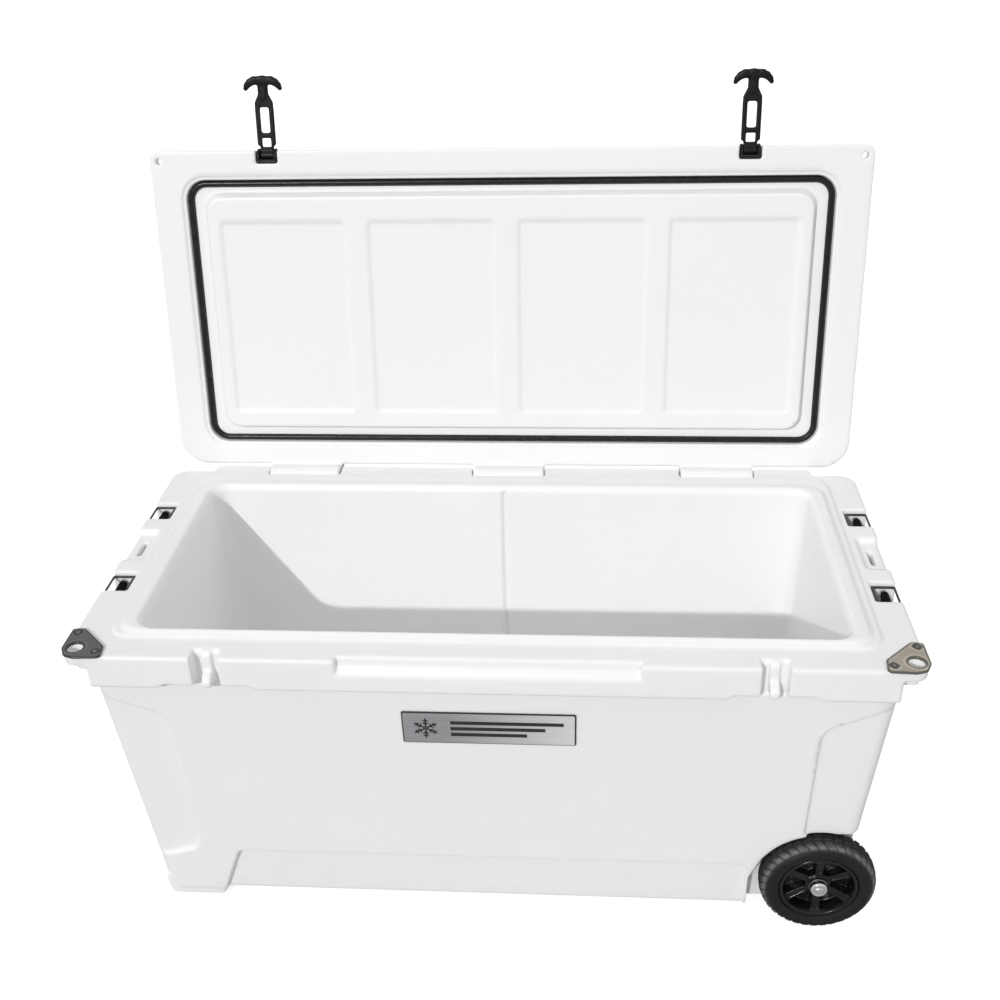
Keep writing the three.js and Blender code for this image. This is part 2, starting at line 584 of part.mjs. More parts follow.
function lidKnuckles() {
  const WEB = [                                 // Y-Z
    [222.5, LID_UNDER + 1], [228, LID_UNDER - 1.5], [250.5, HINGE_Z + 6], [249, HINGE_Z + 14],
    [236, LID_UNDER + 20], [222.5, LID_UNDER + 26],
  ];
  return KNUCKLES.flatMap((x) => [
    rodX(15, HINGE_Y, HINGE_Z, ...around(x, KNUCKLE_HALF), 20),
    prismX(WEB, ...around(x, KNUCKLE_HALF)),
  ]);
}

// space for the foam, shrunk by a gap
const lidVoid = (gap) => join(
  prismZ(rounded(grow([-476, 476, -196, 213], -gap), [20, 20, 34, 34], 3),
    LID_UNDER + 15 + gap, LID_UNDER + 42 - gap),
  prismZ(rounded(grow([-404, 404, -155, 150], -gap), 14, 3), LID_UNDER + gap, LID_UNDER + 20));

function lidShell() {
  const body = cut(withLidPlug(lidBlock()), ...padlockCuts(), ...latchBays());
  return cut(join(body, ...lidKnuckles()),
    rodX(ROD_BORE, HINGE_Y, HINGE_Z, -400, 400, 12),
    lidVoid(0),
    prismY(rounded(LID_FILL_HOLE, LID_FILL_RADIUS), 200, 230));
}

function lidFillPlug() {
  const outline = rounded(grow(LID_FILL_HOLE, -FOAM_GAP), LID_FILL_RADIUS - FOAM_GAP);
  return prismY(outline, 213.6, 224.5);
}

const lidGasket = () => ring(
  GASKET, GASKET_RADIUS, grow(GASKET, -9.7), 18.5, LID_UNDER + 4.3, LID_UNDER + 9.2);

// ---------------------------------------------------------------- T-latches, in line with the lid
const latchBore = (x) => rodX(LATCH_BORE, LATCH_Y, LATCH_Z, ...around(x, 20), 12);

// bracket in the lid's bay: back plate and two cheeks
function latchBase(x) {
  const CHEEK = [                               // [distance out from the pin, height over LID_UNDER]
    [-9.2, 0.8], [-9.2, 24], [-2, 22], [5, 19.5], [9, 15], [9.2, 10], [7, 5], [1, 0.8],
  ].map(([out, height]) => [LATCH_Y - out, LID_UNDER + height]);
  const cheeks = SIGNS.map((sign) => {
    const [x0, x1] = sideSpan(sign, 9.8, 13.6);
    return prismX(CHEEK, x + x0, x + x1);
  });
  const plate = box(
    ...around(x, 13.6), LATCH_Y + 6.6, LATCH_Y + 9.4, LID_UNDER + 0.8, LID_UNDER + 24);
  return cut(join(plate, ...cheeks), latchBore(x));
}

// rubber strap with two windows, a neck and a thicker T-bar
function latchStrap(x) {
  // right halves of the outlines: [X from the latch's middle, distance out from the pin]
  const STRAP = [
    [9.3, 0], [9.3, 11.7], [12.8, 13.6], [12.8, 63], [12.4, 70], [9, 76], [7, 80], [7, 91],
    [12, 92], [19, 88], [24, 85], [26.5, 87.5], [26, 92], [22, 98], [14, 103], [5, 105],
  ];
  const BAR = [
    [11, 93.5], [19, 89.5], [24.5, 86.5], [25.5, 91], [20.5, 97], [13, 101.5], [5, 103.5],
  ];
  const WINDOWS = [[11.5, 23, 1.5], [30, 63.5, [3, 3, 1.5, 1.5]]];      // near, far, radii
  const wholeOutline = (half) => [...mirrorX(half, -1), ...half.toReversed()]
    .map(([dx, out]) => [x + dx, LATCH_Y - out]);
  const windows = WINDOWS.map(([near, far, radii]) =>
    rounded([...around(x, 6.3), LATCH_Y - far, LATCH_Y - near], radii, 2));
  return cut(
    join(
      prismZ(wholeOutline(STRAP), ...around(LATCH_Z, 2.7), windows),
      rodX(6, LATCH_Y, LATCH_Z, ...around(x, 9.3)),
      prismZ(wholeOutline(BAR), ...around(LATCH_Z, 5.5))),
    latchBore(x));
}

function addLatch(side, sign) {
  const x = sign * LATCH_X;
  const pin = rodX(2.4, LATCH_Y, LATCH_Z, ...around(x, 13.2), 12);
  addMesh(`latch_base_${side}`, latchBase(x), BLACK, lid);
  addMesh(`latch_pin_${side}`, pin, STEEL, lid);
  addMesh(`latch_strap_${side}`, latchStrap(x), BLACK, lid);
}

// ================================================================ ASSEMBLY
const forEach = (pairs, add) => pairs.forEach(([name, sign]) => add(name, sign));

addMesh('tub_shell', tubShell(), WHITE);
addMesh('tub_foam_core', tubVoid(FOAM_GAP), FOAM);
addMesh('tub_fill_plug', tubFillPlug(), WHITE);
forEach(SIDES, addCornerPlate);
addBadge();
addDrain();
forEach(SIDES, addHandle);
const axleEnds = around(0, WHEEL_FACE - 4);
addMesh('axle', rodY(AXLE_RADIUS, WHEEL_X, WHEEL_Z, ...axleEnds), STEEL);
forEach(FACES, addWheel);
forEach(FACES, addRubberFoot);
addMesh('hinge_rod', rodX(ROD_RADIUS, HINGE_Y, HINGE_Z, -433, 433, 12), STEEL);
forEach(SIDES, addHingeRodCap);
addMesh('lid_shell', lidShell(), WHITE, lid);
addMesh('lid_foam_core', lidVoid(FOAM_GAP), FOAM, lid);
addMesh('lid_fill_plug', lidFillPlug(), WHITE, lid);
addMesh('lid_gasket', lidGasket(), RUBBER, lid);
forEach(SIDES, addLatch);

export default group;
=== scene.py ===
import copy
import functools
import json
import math
from concurrent.futures import ThreadPoolExecutor

import bpy
import numpy as np
import openvdb as vdb
from mathutils import Matrix, Vector


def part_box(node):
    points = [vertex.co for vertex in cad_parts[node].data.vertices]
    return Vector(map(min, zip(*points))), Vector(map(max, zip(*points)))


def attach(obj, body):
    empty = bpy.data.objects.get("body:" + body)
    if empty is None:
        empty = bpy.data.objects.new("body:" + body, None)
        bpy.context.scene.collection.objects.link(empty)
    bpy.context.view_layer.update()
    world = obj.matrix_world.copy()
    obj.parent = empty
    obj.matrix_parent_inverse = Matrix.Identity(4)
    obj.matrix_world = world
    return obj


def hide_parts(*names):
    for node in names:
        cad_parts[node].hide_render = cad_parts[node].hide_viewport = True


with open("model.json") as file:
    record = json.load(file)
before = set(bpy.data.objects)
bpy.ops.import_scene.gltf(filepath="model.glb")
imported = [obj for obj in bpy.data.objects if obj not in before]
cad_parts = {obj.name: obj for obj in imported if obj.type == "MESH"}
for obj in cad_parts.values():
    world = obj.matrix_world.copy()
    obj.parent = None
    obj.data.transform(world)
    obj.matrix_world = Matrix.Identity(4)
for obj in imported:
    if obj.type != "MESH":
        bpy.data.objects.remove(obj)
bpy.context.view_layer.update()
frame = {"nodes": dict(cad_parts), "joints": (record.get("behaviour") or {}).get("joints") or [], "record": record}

BODY_OF = {node: body for body, nodes in frame["record"]["behaviour"]["bodies"].items()
           for node in nodes}
HINGE = next(joint for joint in frame["joints"] if joint["name"] == "lid_hinge")
FLOOR = min(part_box("rubber_foot_front")[0].z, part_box("tyre_front")[0].z) * 1000.0
UP = -FLOOR - 7.0                     # a drawn height less this is the row height, in mm
HINGE_Y, HINGE_Z = HINGE["pos_m"][1] * 1000.0, HINGE["pos_m"][2] * 1000.0 + UP
OPEN = math.radians(max(HINGE["range_deg"]))

# Grid steps of the two big mouldings
TUB_STEP, LID_STEP = ((1.5, 1.3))

# The outer wall of the tub: half sizes at WALL_Z, growing by WALL_LEAN over WALL_RISE
WALL_HALF_X, WALL_HALF_Y = 454.5, 189
WALL_LEAN_X, WALL_LEAN_Y = 25.5, 28
WALL_Z, WALL_RISE = 14, 372

LID_UNDER, LID_TOP = 436.0, 486.0     # lid heights, shut
KNUCKLES = (-304, 0, 304)             # centres of the lid's hinge arms
KNUCKLE_HALF = 53.2                   # half width of the notches they sit in
BARREL_END = 440
HINGE_BORE = 4.35

LATCH_X, LATCH_Y, LATCH_Z = 330.0, -223.0, 448.0      # pins of the latches, lid shut
HANDLE_X, HANDLE_Z = 485.5, 417.5                     # pins of the carry handles
HANDLE_Y = {"front": -70.0, "back": 110.0}
GRIP_Z = 336.0
DRAIN_Z = 108.0
WHEEL_X, WHEEL_Z = 416.0, 67.5
WHEEL_FACE, WHEEL_WIDTH = 214.0, 42.0                 # outer face from the middle, width
FILL_X = -180                                         # filling plug under the tub

SIDES = (("left", -1), ("right", 1))
ENDS = (("front", -1), ("back", 1))


# ------------------------------------------------------------------ distances
def soft_max(a, b, blend):
    if blend <= 0:
        return np.maximum(a, b)
    near = np.maximum(blend - np.abs(a - b), 0) / blend
    return np.maximum(a, b) + near * near * (blend * 0.25)


def soft_min(a, b, blend):
    if blend <= 0:
        return np.minimum(a, b)
    near = np.maximum(blend - np.abs(a - b), 0) / blend
    return np.minimum(a, b) - near * near * (blend * 0.25)


def largest(*values):
    return functools.reduce(np.maximum, values)


def slab(along, start, end):
    return np.abs(along - (start + end) * 0.5) - (end - start) * 0.5


def round_rect(u, v, u0, u1, v0, v1, radius):
    out_u = np.abs(u - (u0 + u1) * 0.5) - ((u1 - u0) * 0.5 - radius)
    out_v = np.abs(v - (v0 + v1) * 0.5) - ((v1 - v0) * 0.5 - radius)
    outside_part = np.hypot(np.maximum(out_u, 0), np.maximum(out_v, 0))
    return outside_part + np.minimum(np.maximum(out_u, out_v), 0) - radius


def polygon(outline, u, v):
    """exact signed distance to a 2-D polygon"""
    outline = np.asarray(outline, np.float32)
    nearest, sign = np.inf, 1.0
    for i in range(len(outline)):
        a, b = outline[i], outline[i - 1]
        edge = b - a
        from_u, from_v = u - a[0], v - a[1]
        share = (from_u * edge[0] + from_v * edge[1]) / max(float(edge @ edge), 1e-9)
        share = np.clip(share, 0, 1)
        off_u, off_v = from_u - edge[0] * share, from_v - edge[1] * share
        above, below = v >= a[1], v < b[1]
        left = edge[0] * from_v > edge[1] * from_u
        crossed = (above & below & left) | (~above & ~below & ~left)
        nearest = np.minimum(nearest, off_u * off_u + off_v * off_v)
        sign = np.where(crossed, -sign, sign)
    return (sign * np.sqrt(nearest)).astype(np.float32)


# ------------------------------------------------------------------ shapes
# A shape is (distance function of x, y, z; low corner; high corner)
PLANE = {"x": (1, 2, 0), "y": (0, 2, 1), "z": (0, 1, 2)}     # u, v and the axis along


def everywhere(distance):
    return distance, (-1000,) * 3, (1000,) * 3


def extrude(axis, section, corners, ends, blend=0.0):
    """a 2-D section distance carried along an axis; corners are those of the section's box"""
    u, v, along = PLANE[axis]

    def distance(*grid):
        return soft_max(section(grid[u], grid[v]), slab(grid[along], *ends), blend)

    box = [[0, 0, 0], [0, 0, 0]]
    for point, corner, end in zip(box, corners, ends):
        point[u], point[v], point[along] = corner[0], corner[1], end
    return distance, *box


def prism(axis, outline, start, end, blend=0.0):
    outline = np.asarray(outline, float)
    return extrude(axis, lambda u, v: polygon(outline, u, v),
                   (outline.min(0), outline.max(0)), (start, end), blend)


def round_block(axis, sides, radius, start, end, blend=0.0):
    """sides: u0, u1, v0, v1"""
    return extrude(axis, lambda u, v: round_rect(u, v, *sides, radius),
                   (sides[::2], sides[1::2]), (start, end), blend)


def cylinder(axis, radius, u0, v0, start, end, blend=0.0):
    return extrude(axis, lambda u, v: np.hypot(u - u0, v - v0) - radius,
                   ((u0 - radius, v0 - radius), (u0 + radius, v0 + radius)), (start, end), blend)


def block(x0, x1, y0, y1, z0, z1, radius=0.0):
    """a box with all its edges rounded"""
    x0, x1 = sorted((x0, x1))
    y0, y1 = sorted((y0, y1))

    def distance(x, y, z):
        a, b, c = slab(x, x0, x1) + radius, slab(y, y0, y1) + radius, slab(z, z0, z1) + radius
        far = np.maximum(a, 0) ** 2 + np.maximum(b, 0) ** 2 + np.maximum(c, 0) ** 2
        return np.sqrt(far) + np.minimum(largest(a, b, c), 0) - radius

    return distance, (x0, y0, z0), (x1, y1, z1)


def tapered(top, top_z, bottom, bottom_z, radius, blend):
    """a block running from one rounded rectangle (x0, x1, y0, y1) to another"""
    slope = math.atan2(abs(top[1] - bottom[1]), top_z - bottom_z)

    def distance(x, y, z):
        share = (z - bottom_z) / (top_z - bottom_z)
        sides = [low + (high - low) * share for high, low in zip(top, bottom)]
        around = round_rect(x, y, *sides, radius)
        return soft_max(around * math.cos(slope), slab(z, bottom_z, top_z), blend)

    low = (min(top[0], bottom[0]), min(top[2], bottom[2]), bottom_z)
    high = (max(top[1], bottom[1]), max(top[3], bottom[3]), top_z)
    return distance, low, high


def outside(shape, inner, blend):
    """the part of a shape that lies outside an inner distance"""
    distance, low, high = shape
    return lambda x, y, z: soft_max(distance(x, y, z), -inner(x, y, z), blend), low, high


def thread(x, y, z, core, turn_rate, land):
    """a helical groove outside the core radius"""
    wave = 0.5 * (1 + np.sin(z * turn_rate + np.arctan2(y, x)))
    return np.maximum(core - np.hypot(x, y), land - wave)


def fillet(points, radii, steps=5, closed=False):
    """rounds the corners of a 2-D polyline; radii is one radius or one per corner"""
    points = [np.array(point, float) for point in points]
    count = len(points)
    if not hasattr(radii, "__len__"):
        radii = [radii] * count
    rounded = []
    for i, corner in enumerate(points):
        if (not closed and i in (0, count - 1)) or radii[i] <= 0:
            rounded.append(corner)
            continue
        back, ahead = points[i - 1] - corner, points[(i + 1) % count] - corner
        back_length, ahead_length = np.linalg.norm(back), np.linalg.norm(ahead)
        back, ahead = back / back_length, ahead / ahead_length
        half = math.acos(float(np.clip(back @ ahead, -1, 1))) / 2
        if half > math.pi / 2 - 0.03 or half < 0.02:
            rounded.append(corner)
            continue
        # a radius too big for its sides is cut down to fit
        tangent = min(radii[i] / math.tan(half), back_length * 0.48, ahead_length * 0.48)
        radius = tangent * math.tan(half)
        middle = back + ahead
        centre = corner + middle / np.linalg.norm(middle) * (radius / math.sin(half))
        start, end = corner + back * tangent - centre, corner + ahead * tangent - centre
        angle = math.atan2(start[1], start[0])
        sweep = (math.atan2(end[1], end[0]) - angle + math.pi) % (2 * math.pi) - math.pi
        for k in range(steps + 1):
            at = angle + sweep * k / steps
            rounded.append(centre + radius * np.array([math.cos(at), math.sin(at)]))
    return np.array(rounded)


# ------------------------------------------------------------------ fields and their skins
def in_parallel(job, first, last):
    """runs job(first, last) over a range cut in four"""
    size = max(8, (last - first + 3) // 4)
    with ThreadPoolExecutor(4) as pool:
        list(pool.map(lambda start: job(start, min(start + size, last)),
                      range(first, last, size)))


class Field:
    """A block of distance values in mm, cut and joined only near each shape."""
    MARGIN = 9.0

    def __init__(self, low, high, step):
        self.step = step
        self.low = np.array(low, float)
        counts = [int(math.ceil((b - a) / step)) + 1 for a, b in zip(low, high)]
        self.axes = [(a + step * np.arange(n)).astype(np.float32) for a, n in zip(low, counts)]
        self.values = np.full(counts, 1e3, np.float32)

    def above(self, height):
        """an empty block on the same grid, from a height up"""
        part = copy.copy(self)
        first = int(round((height - self.low[2]) / self.step))
        part.axes = self.axes[:2] + [self.axes[2][first:]]
        part.values = np.full_like(self.values[:, :, first:], 1e3)
        return part

    def combine(self, shape, rule):
        distance, low, high = shape
        part = []
        for axis, a, b in zip(self.axes, low, high):
            first = int(np.searchsorted(axis, a - self.MARGIN))
            last = int(np.searchsorted(axis, b + self.MARGIN, side="right"))
            part.append(slice(first, last))
        y = self.axes[1][part[1]][None, :, None]
        z = self.axes[2][part[2]][None, None, :]

        def job(first, last):
            x = self.axes[0][first:last][:, None, None]
            view = self.values[first:last, part[1], part[2]]
            view[...] = rule(view, distance(x, y, z))

        in_parallel(job, part[0].start, part[0].stop)

    def join(self, shape, blend=0.0):
        self.combine(shape, lambda values, added: soft_min(values, added, blend))

    def cut(self, shape, blend=0.0):
        self.combine(shape, lambda values, taken: soft_max(values, -taken, blend))


def smoothed(values, sigma):
    """gaussian blur, sigma in grid steps"""
    reach = max(1, int(3 * sigma + 0.5))
    weights = np.exp(-0.5 * (np.arange(-reach, reach + 1) / sigma) ** 2)
    weights = (weights / weights.sum()).astype(np.float32)
    for axis in range(3):
        count = values.shape[axis]
        edges = [(reach, reach) if i == axis else (0, 0) for i in range(3)]
        padded = np.pad(values, edges, mode="edge")
        result = np.zeros_like(values)
        across = (axis + 1) % 3

        def job(first, last):
            part = [slice(None)] * 3
            part[across] = slice(first, last)
            target = result[tuple(part)]
            for i, weight in enumerate(weights):
                part[axis] = slice(i, i + count)
                target += padded[tuple(part)] * weight

        in_parallel(job, 0, values.shape[across])
        values = result
    return values


def sample(values, places):
    """trilinear values at grid positions"""
    places = np.clip(places, 0, np.array(values.shape) - 1.001)
    cell = places.astype(np.int64)
    x, y, z = cell.T
    tx, ty, tz = (places - cell).astype(np.float32).T

    def line(dx, dy):
        return values[x + dx, y + dy, z] * (1 - tz) + values[x + dx, y + dy, z + 1] * tz

    near = line(0, 0) * (1 - ty) + line(0, 1) * ty
    far = line(1, 0) * (1 - ty) + line(1, 1) * ty
    return near * (1 - tx) + far * tx


def gradient(values, places, reach=0.8):
    slopes = np.empty(places.shape, np.float32)
    for i, shift in enumerate(np.eye(3) * reach):
        slopes[:, i] = (sample(values, places + shift) - sample(values, places - shift)) / (
            2 * reach)
    return slopes


def skin(field, sigma=0.7, adapt=0.01):
    """(points, faces, normals, curvature in 1/mm) of a field's zero surface"""
    values = smoothed(field.values, sigma)
    band = 4.0 * field.step
    grid = vdb.FloatGrid(band)
    grid.transform = vdb.createLinearTransform(voxelSize=1.0)
    grid.copyFromArray(np.clip(values, -band, band), tolerance=1e-5)
    points, tris, quads = grid.convertToPolygons(isovalue=0.0, adaptivity=adapt)
    places = points.astype(float)
    # two Newton steps put the points on the surface
    for _ in range(2):
        distance = sample(values, places)
        normals = gradient(values, places)
        steep = np.maximum((normals * normals).sum(1), 0.05)
        move = normals * (distance / steep)[:, None]
        length = np.linalg.norm(move, axis=1)
        move *= np.minimum(1, 0.7 / np.maximum(length, 1e-9))[:, None]
        places = places - move
    normals = gradient(values, places)
    normals /= np.maximum(np.linalg.norm(normals, axis=1), 1e-9)[:, None]
    reach = max(1.6, 2.4 / field.step)
    curvature = -6 * sample(values, places)
    for shift in np.eye(3) * reach:
        curvature = curvature + sample(values, places + shift) + sample(values, places - shift)
    curvature = curvature / (reach * field.step) ** 2
    tris = np.asarray(tris, np.int64).reshape(-1, 3)
    quads = np.asarray(quads, np.int64).reshape(-1, 4)
    face = quads if len(quads) else tris
    corner = places[face[:, 0]]
    facing = np.cross(places[face[:, 1]] - corner, places[face[:, 2]] - corner)
    if (facing * normals[face[:, 0]]).sum() < 0:
        tris, quads = tris[:, ::-1], quads[:, ::-1]
    return field.low + places * field.step, [tris, quads], normals, curvature


# ------------------------------------------------------------------ placing and making pieces
def axes(*columns):
    """maps vectors: each new axis is an old one, 1 to 3, with its sign"""
    def turn(vectors):
        vectors = np.asarray(vectors, float)
        return np.stack([math.copysign(1, c) * vectors[:, abs(c) - 1] for c in columns], 1)
    return turn


def rotate_x(vectors, angle):
    cos, sin = math.cos(angle), math.sin(angle)
    turned = np.array(vectors, float)
    turned[:, 1] = vectors[:, 1] * cos - vectors[:, 2] * sin
    turned[:, 2] = vectors[:, 1] * sin + vectors[:, 2] * cos
    return turned


def to_row(points, lid):
    """mm to metres in the row frame; lid pieces are drawn shut and swung open here"""
    points = np.array(points, float)
    if lid:
        hinge = np.array([0, HINGE_Y, HINGE_Z])
        points = rotate_x(points - hinge, -OPEN) + hinge
    points[:, 2] -= UP
    return points * 0.001


def add_mesh(node, suffix, points, faces, materials, turn=None, offset=(0, 0, 0), lid=False,
             normals=None, sharp=None, attributes={}, material_index=None, body=None):
    """Makes the piece that stands for a CAD node; with a body given, it rides there and replaces
    nothing. Faces are index arrays, one for each number of corners."""
    faces = [np.asarray(part, np.int64) for part in faces if len(part)]
    if turn:
        points = turn(points)
        if normals is not None:
            normals = turn(normals)
        if np.linalg.det(turn(np.eye(3))) < 0:
            faces = [part[:, ::-1] for part in faces]
    points = points + np.array(offset, float)
    name = f"{node}_{suffix}"
    mesh = bpy.data.meshes.new(name)
    mesh.vertices.add(len(points))
    mesh.vertices.foreach_set("co", to_row(points, lid).astype(np.float32).ravel())
    loops = np.concatenate([part.ravel() for part in faces]).astype(np.int32)
    sizes = np.concatenate([np.full(len(part), part.shape[1]) for part in faces])
    mesh.loops.add(len(loops))
    mesh.loops.foreach_set("vertex_index", loops)
    mesh.polygons.add(len(sizes))
    starts = np.concatenate([[0], np.cumsum(sizes)[:-1]]).astype(np.int32)
    mesh.polygons.foreach_set("loop_start", starts)
    mesh.update(calc_edges=True)
    mesh.validate(verbose=False)
    mesh.polygons.foreach_set("use_smooth", np.ones(len(mesh.polygons), bool))
    if material_index is not None:
        mesh.polygons.foreach_set("material_index", np.asarray(material_index, np.int32))
    for material in materials:
        mesh.materials.append(material)
    for key, values in attributes.items():
        attribute = mesh.attributes.new(key, "FLOAT", "POINT")
        attribute.data.foreach_set("value", np.asarray(values, np.float32))
    if normals is not None:
        normals = rotate_x(normals, -OPEN) if lid else normals
        mesh.normals_split_custom_set_from_vertices(normals.astype(float).tolist())
    elif sharp is not None:
        mesh.set_sharp_from_angle(angle=math.radians(sharp))
    mesh.update()
    piece = bpy.data.objects.new(name, mesh)
    bpy.context.scene.collection.objects.link(piece)
    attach(piece, body or BODY_OF[node])
    if body is None:
        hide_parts(node)


def add_skin(node, suffix, surface, material, **placing):
    points, faces, normals, curvature = surface
    add_mesh(node, suffix, points, faces, [material], normals=normals,
             attributes={"curv": curvature}, **placing)


def lathe(profile, steps):
    """a profile of (radius, axial) turned about +z; it ends on the axis or closes on itself"""
    profile = np.asarray(profile, float)
    on_axis = profile[0][0] < 1e-6 and profile[-1][0] < 1e-6
    rings = profile[1:-1] if on_axis else profile
    count = len(rings)
    angle = np.linspace(0, 2 * math.pi, steps, endpoint=False)
    points = np.empty((count, steps, 3))
    points[:, :, 0] = rings[:, 0:1] * np.cos(angle)
    points[:, :, 1] = rings[:, 0:1] * np.sin(angle)
    points[:, :, 2] = rings[:, 1:2]
    points = points.reshape(-1, 3)
    i, j = np.meshgrid(np.arange(count - 1 if on_axis else count), np.arange(steps),
                       indexing="ij")
    row, next_row, j2 = i * steps, (i + 1) % count * steps, (j + 1) % steps
    quads = np.stack([row + j, row + j2, next_row + j2, next_row + j], -1).reshape(-1, 4)
    tris = np.zeros((0, 3), int)
    if on_axis:
        pole = len(points)
        points = np.vstack([points, [[0, 0, profile[0][1]], [0, 0, profile[-1][1]]]])
        j = np.arange(steps)
        j2, last = (j + 1) % steps, (count - 1) * steps
        tris = np.vstack([np.stack([np.full(steps, pole), j2, j], -1),
                          np.stack([np.full(steps, pole + 1), last + j, last + j2], -1)])
    loop = np.vstack([profile, profile[:1]])
    if (loop[:-1, 0] * loop[1:, 1] - loop[1:, 0] * loop[:-1, 1]).sum() < 0:
        quads, tris = quads[:, ::-1], tris[:, ::-1]
    return points, [tris, quads]


def along_x(sign=1):
    return axes(sign * 3, sign * 1, 2)


def along_y(sign=1):
    return axes(sign * 2, sign * 3, 1)


def add_turned(node, suffix, profile, material, turn, centre, steps=72, radius=0, sharp=40,
               **options):
    """a turned piece; radius rounds the corners of its profile"""
    if radius:
        on_axis = profile[0][0] < 1e-6 and profile[-1][0] < 1e-6
        profile = fillet(profile, radius, 4, closed=not on_axis)
    points, faces = lathe(profile, steps)
    add_mesh(node, suffix, points, faces, [material], turn=turn, offset=centre, sharp=sharp,
             **options)


def add_rod(node, suffix, radius, half, chamfer, material, turn, centre, steps, **options):
    """a round bar with small end chamfers"""
    profile = [[0, -half], [radius - chamfer, -half], [radius, chamfer - half],
               [radius, half - chamfer], [radius - chamfer, half], [0, half]]
    add_turned(node, suffix, profile, material, turn, centre, steps, **options)


def ring_quads(rows, columns, open_columns=False):
    """quads of a grid whose rows run round a loop; the columns close too unless open"""
    i, j = np.meshgrid(np.arange(rows), np.arange(columns - open_columns), indexing="ij")
    row, next_row, j2 = i * columns, (i + 1) % rows * columns, (j + 1) % columns
    return np.stack([row + j, next_row + j, next_row + j2, row + j2], -1).reshape(-1, 4)


def resample(points, places):
    """even points on a 2-D polyline; places gives their lengths along it from its total"""
    lengths = np.linalg.norm(np.diff(points, axis=0), axis=1)
    run = np.concatenate([[0], np.cumsum(lengths)])
    at = places(run[-1])
    return np.stack([np.interp(at, run, points[:, 0]), np.interp(at, run, points[:, 1])], 1)


# ------------------------------------------------------------------ node trees
class Nodes:
    """Short calls for building a node tree."""

    def __init__(self, tree):
        self.tree = tree
        tree.nodes.clear()

    def add(self, kind, **settings):
        node = self.tree.nodes.new(kind)
        for key, value in settings.items():
            setattr(node, key, value)
        return node

    def feed(self, socket, value):
        """links an output to the socket, or sets the socket's value"""
        if hasattr(value, "is_output"):
            self.tree.links.new(value, socket)
        else:
            socket.default_value = value

    def math(self, operation, a, b=None, clamp=False):
        node = self.add("ShaderNodeMath", operation=operation, use_clamp=clamp)
        self.feed(node.inputs[0], a)
        if b is not None:
            self.feed(node.inputs[1], b)
        return node.outputs[0]

    def times(self, a, b):
        return self.math("MULTIPLY", a, b)

    def mask(self, a, b):
        """product of two masks, kept between 0 and 1"""
        return self.math("MULTIPLY", a, b, clamp=True)

    def mix(self, factor, start, to):
        node = self.add("ShaderNodeMix", data_type="RGBA")
        self.feed(node.inputs[0], factor)
        for socket, colour in ((node.inputs[6], start), (node.inputs[7], to)):
            self.feed(socket, colour + (1,) if isinstance(colour, tuple) else colour)
        return node.outputs[2]

    def split(self, vector):
        node = self.add("ShaderNodeSeparateXYZ")
        self.feed(node.inputs[0], vector)
        return node.outputs

    def ramp(self, value, stops):
        """grey ramp of (position, brightness)"""
        node = self.add("ShaderNodeValToRGB")
        elements = node.color_ramp.elements
        while len(elements) < len(stops):
            elements.new(0.5)
        for element, (position, grey) in zip(elements, stops):
            element.position = position
            element.color = (grey, grey, grey, 1)
        self.feed(node.inputs[0], value)
        return node.outputs[0]


class Material(Nodes):
    def __init__(self, name):
        self.data = bpy.data.materials.new(name)
        self.data.use_nodes = True
        super().__init__(self.data.node_tree)
        output = self.add("ShaderNodeOutputMaterial")
        self.shader = self.add("ShaderNodeBsdfPrincipled")
        self.feed(output.inputs[0], self.shader.outputs[0])

    def put(self, socket, value):
        self.feed(self.shader.inputs[socket], value)

    def coords(self, scale=(1, 1, 1)):
        source = self.add("ShaderNodeTexCoord")
        mapping = self.add("ShaderNodeMapping")
        mapping.inputs["Scale"].default_value = scale
        self.feed(mapping.inputs["Vector"], source.outputs["Object"])
        return mapping.outputs[0]

    def noise(self, scale, detail, rough, vector=None):
        node = self.add("ShaderNodeTexNoise")
        node.inputs["Scale"].default_value = scale
        node.inputs["Detail"].default_value = detail
        node.inputs["Roughness"].default_value = rough
        self.feed(node.inputs["Vector"], self.coords() if vector is None else vector)
        return node.outputs[0]

    def remap(self, value, span, to=(0, 1)):
        node = self.add("ShaderNodeMapRange")
        for socket, limit in zip(node.inputs[1:5], (*span, *to)):
            socket.default_value = limit
        self.feed(node.inputs[0], value)
        return node.outputs[0]

    def attribute(self, name):
        node = self.add("ShaderNodeAttribute", attribute_name=name, attribute_type="GEOMETRY")
        return node.outputs["Fac"]

    def bump(self, height, strength, distance):
        node = self.add("ShaderNodeBump")
        node.inputs["Strength"].default_value = strength
        node.inputs["Distance"].default_value = distance
        self.feed(node.inputs["Height"], height)
        self.put("Normal", node.outputs[0])


def scaled(colour, factor):
    return tuple(min(1, c * factor) for c in colour)


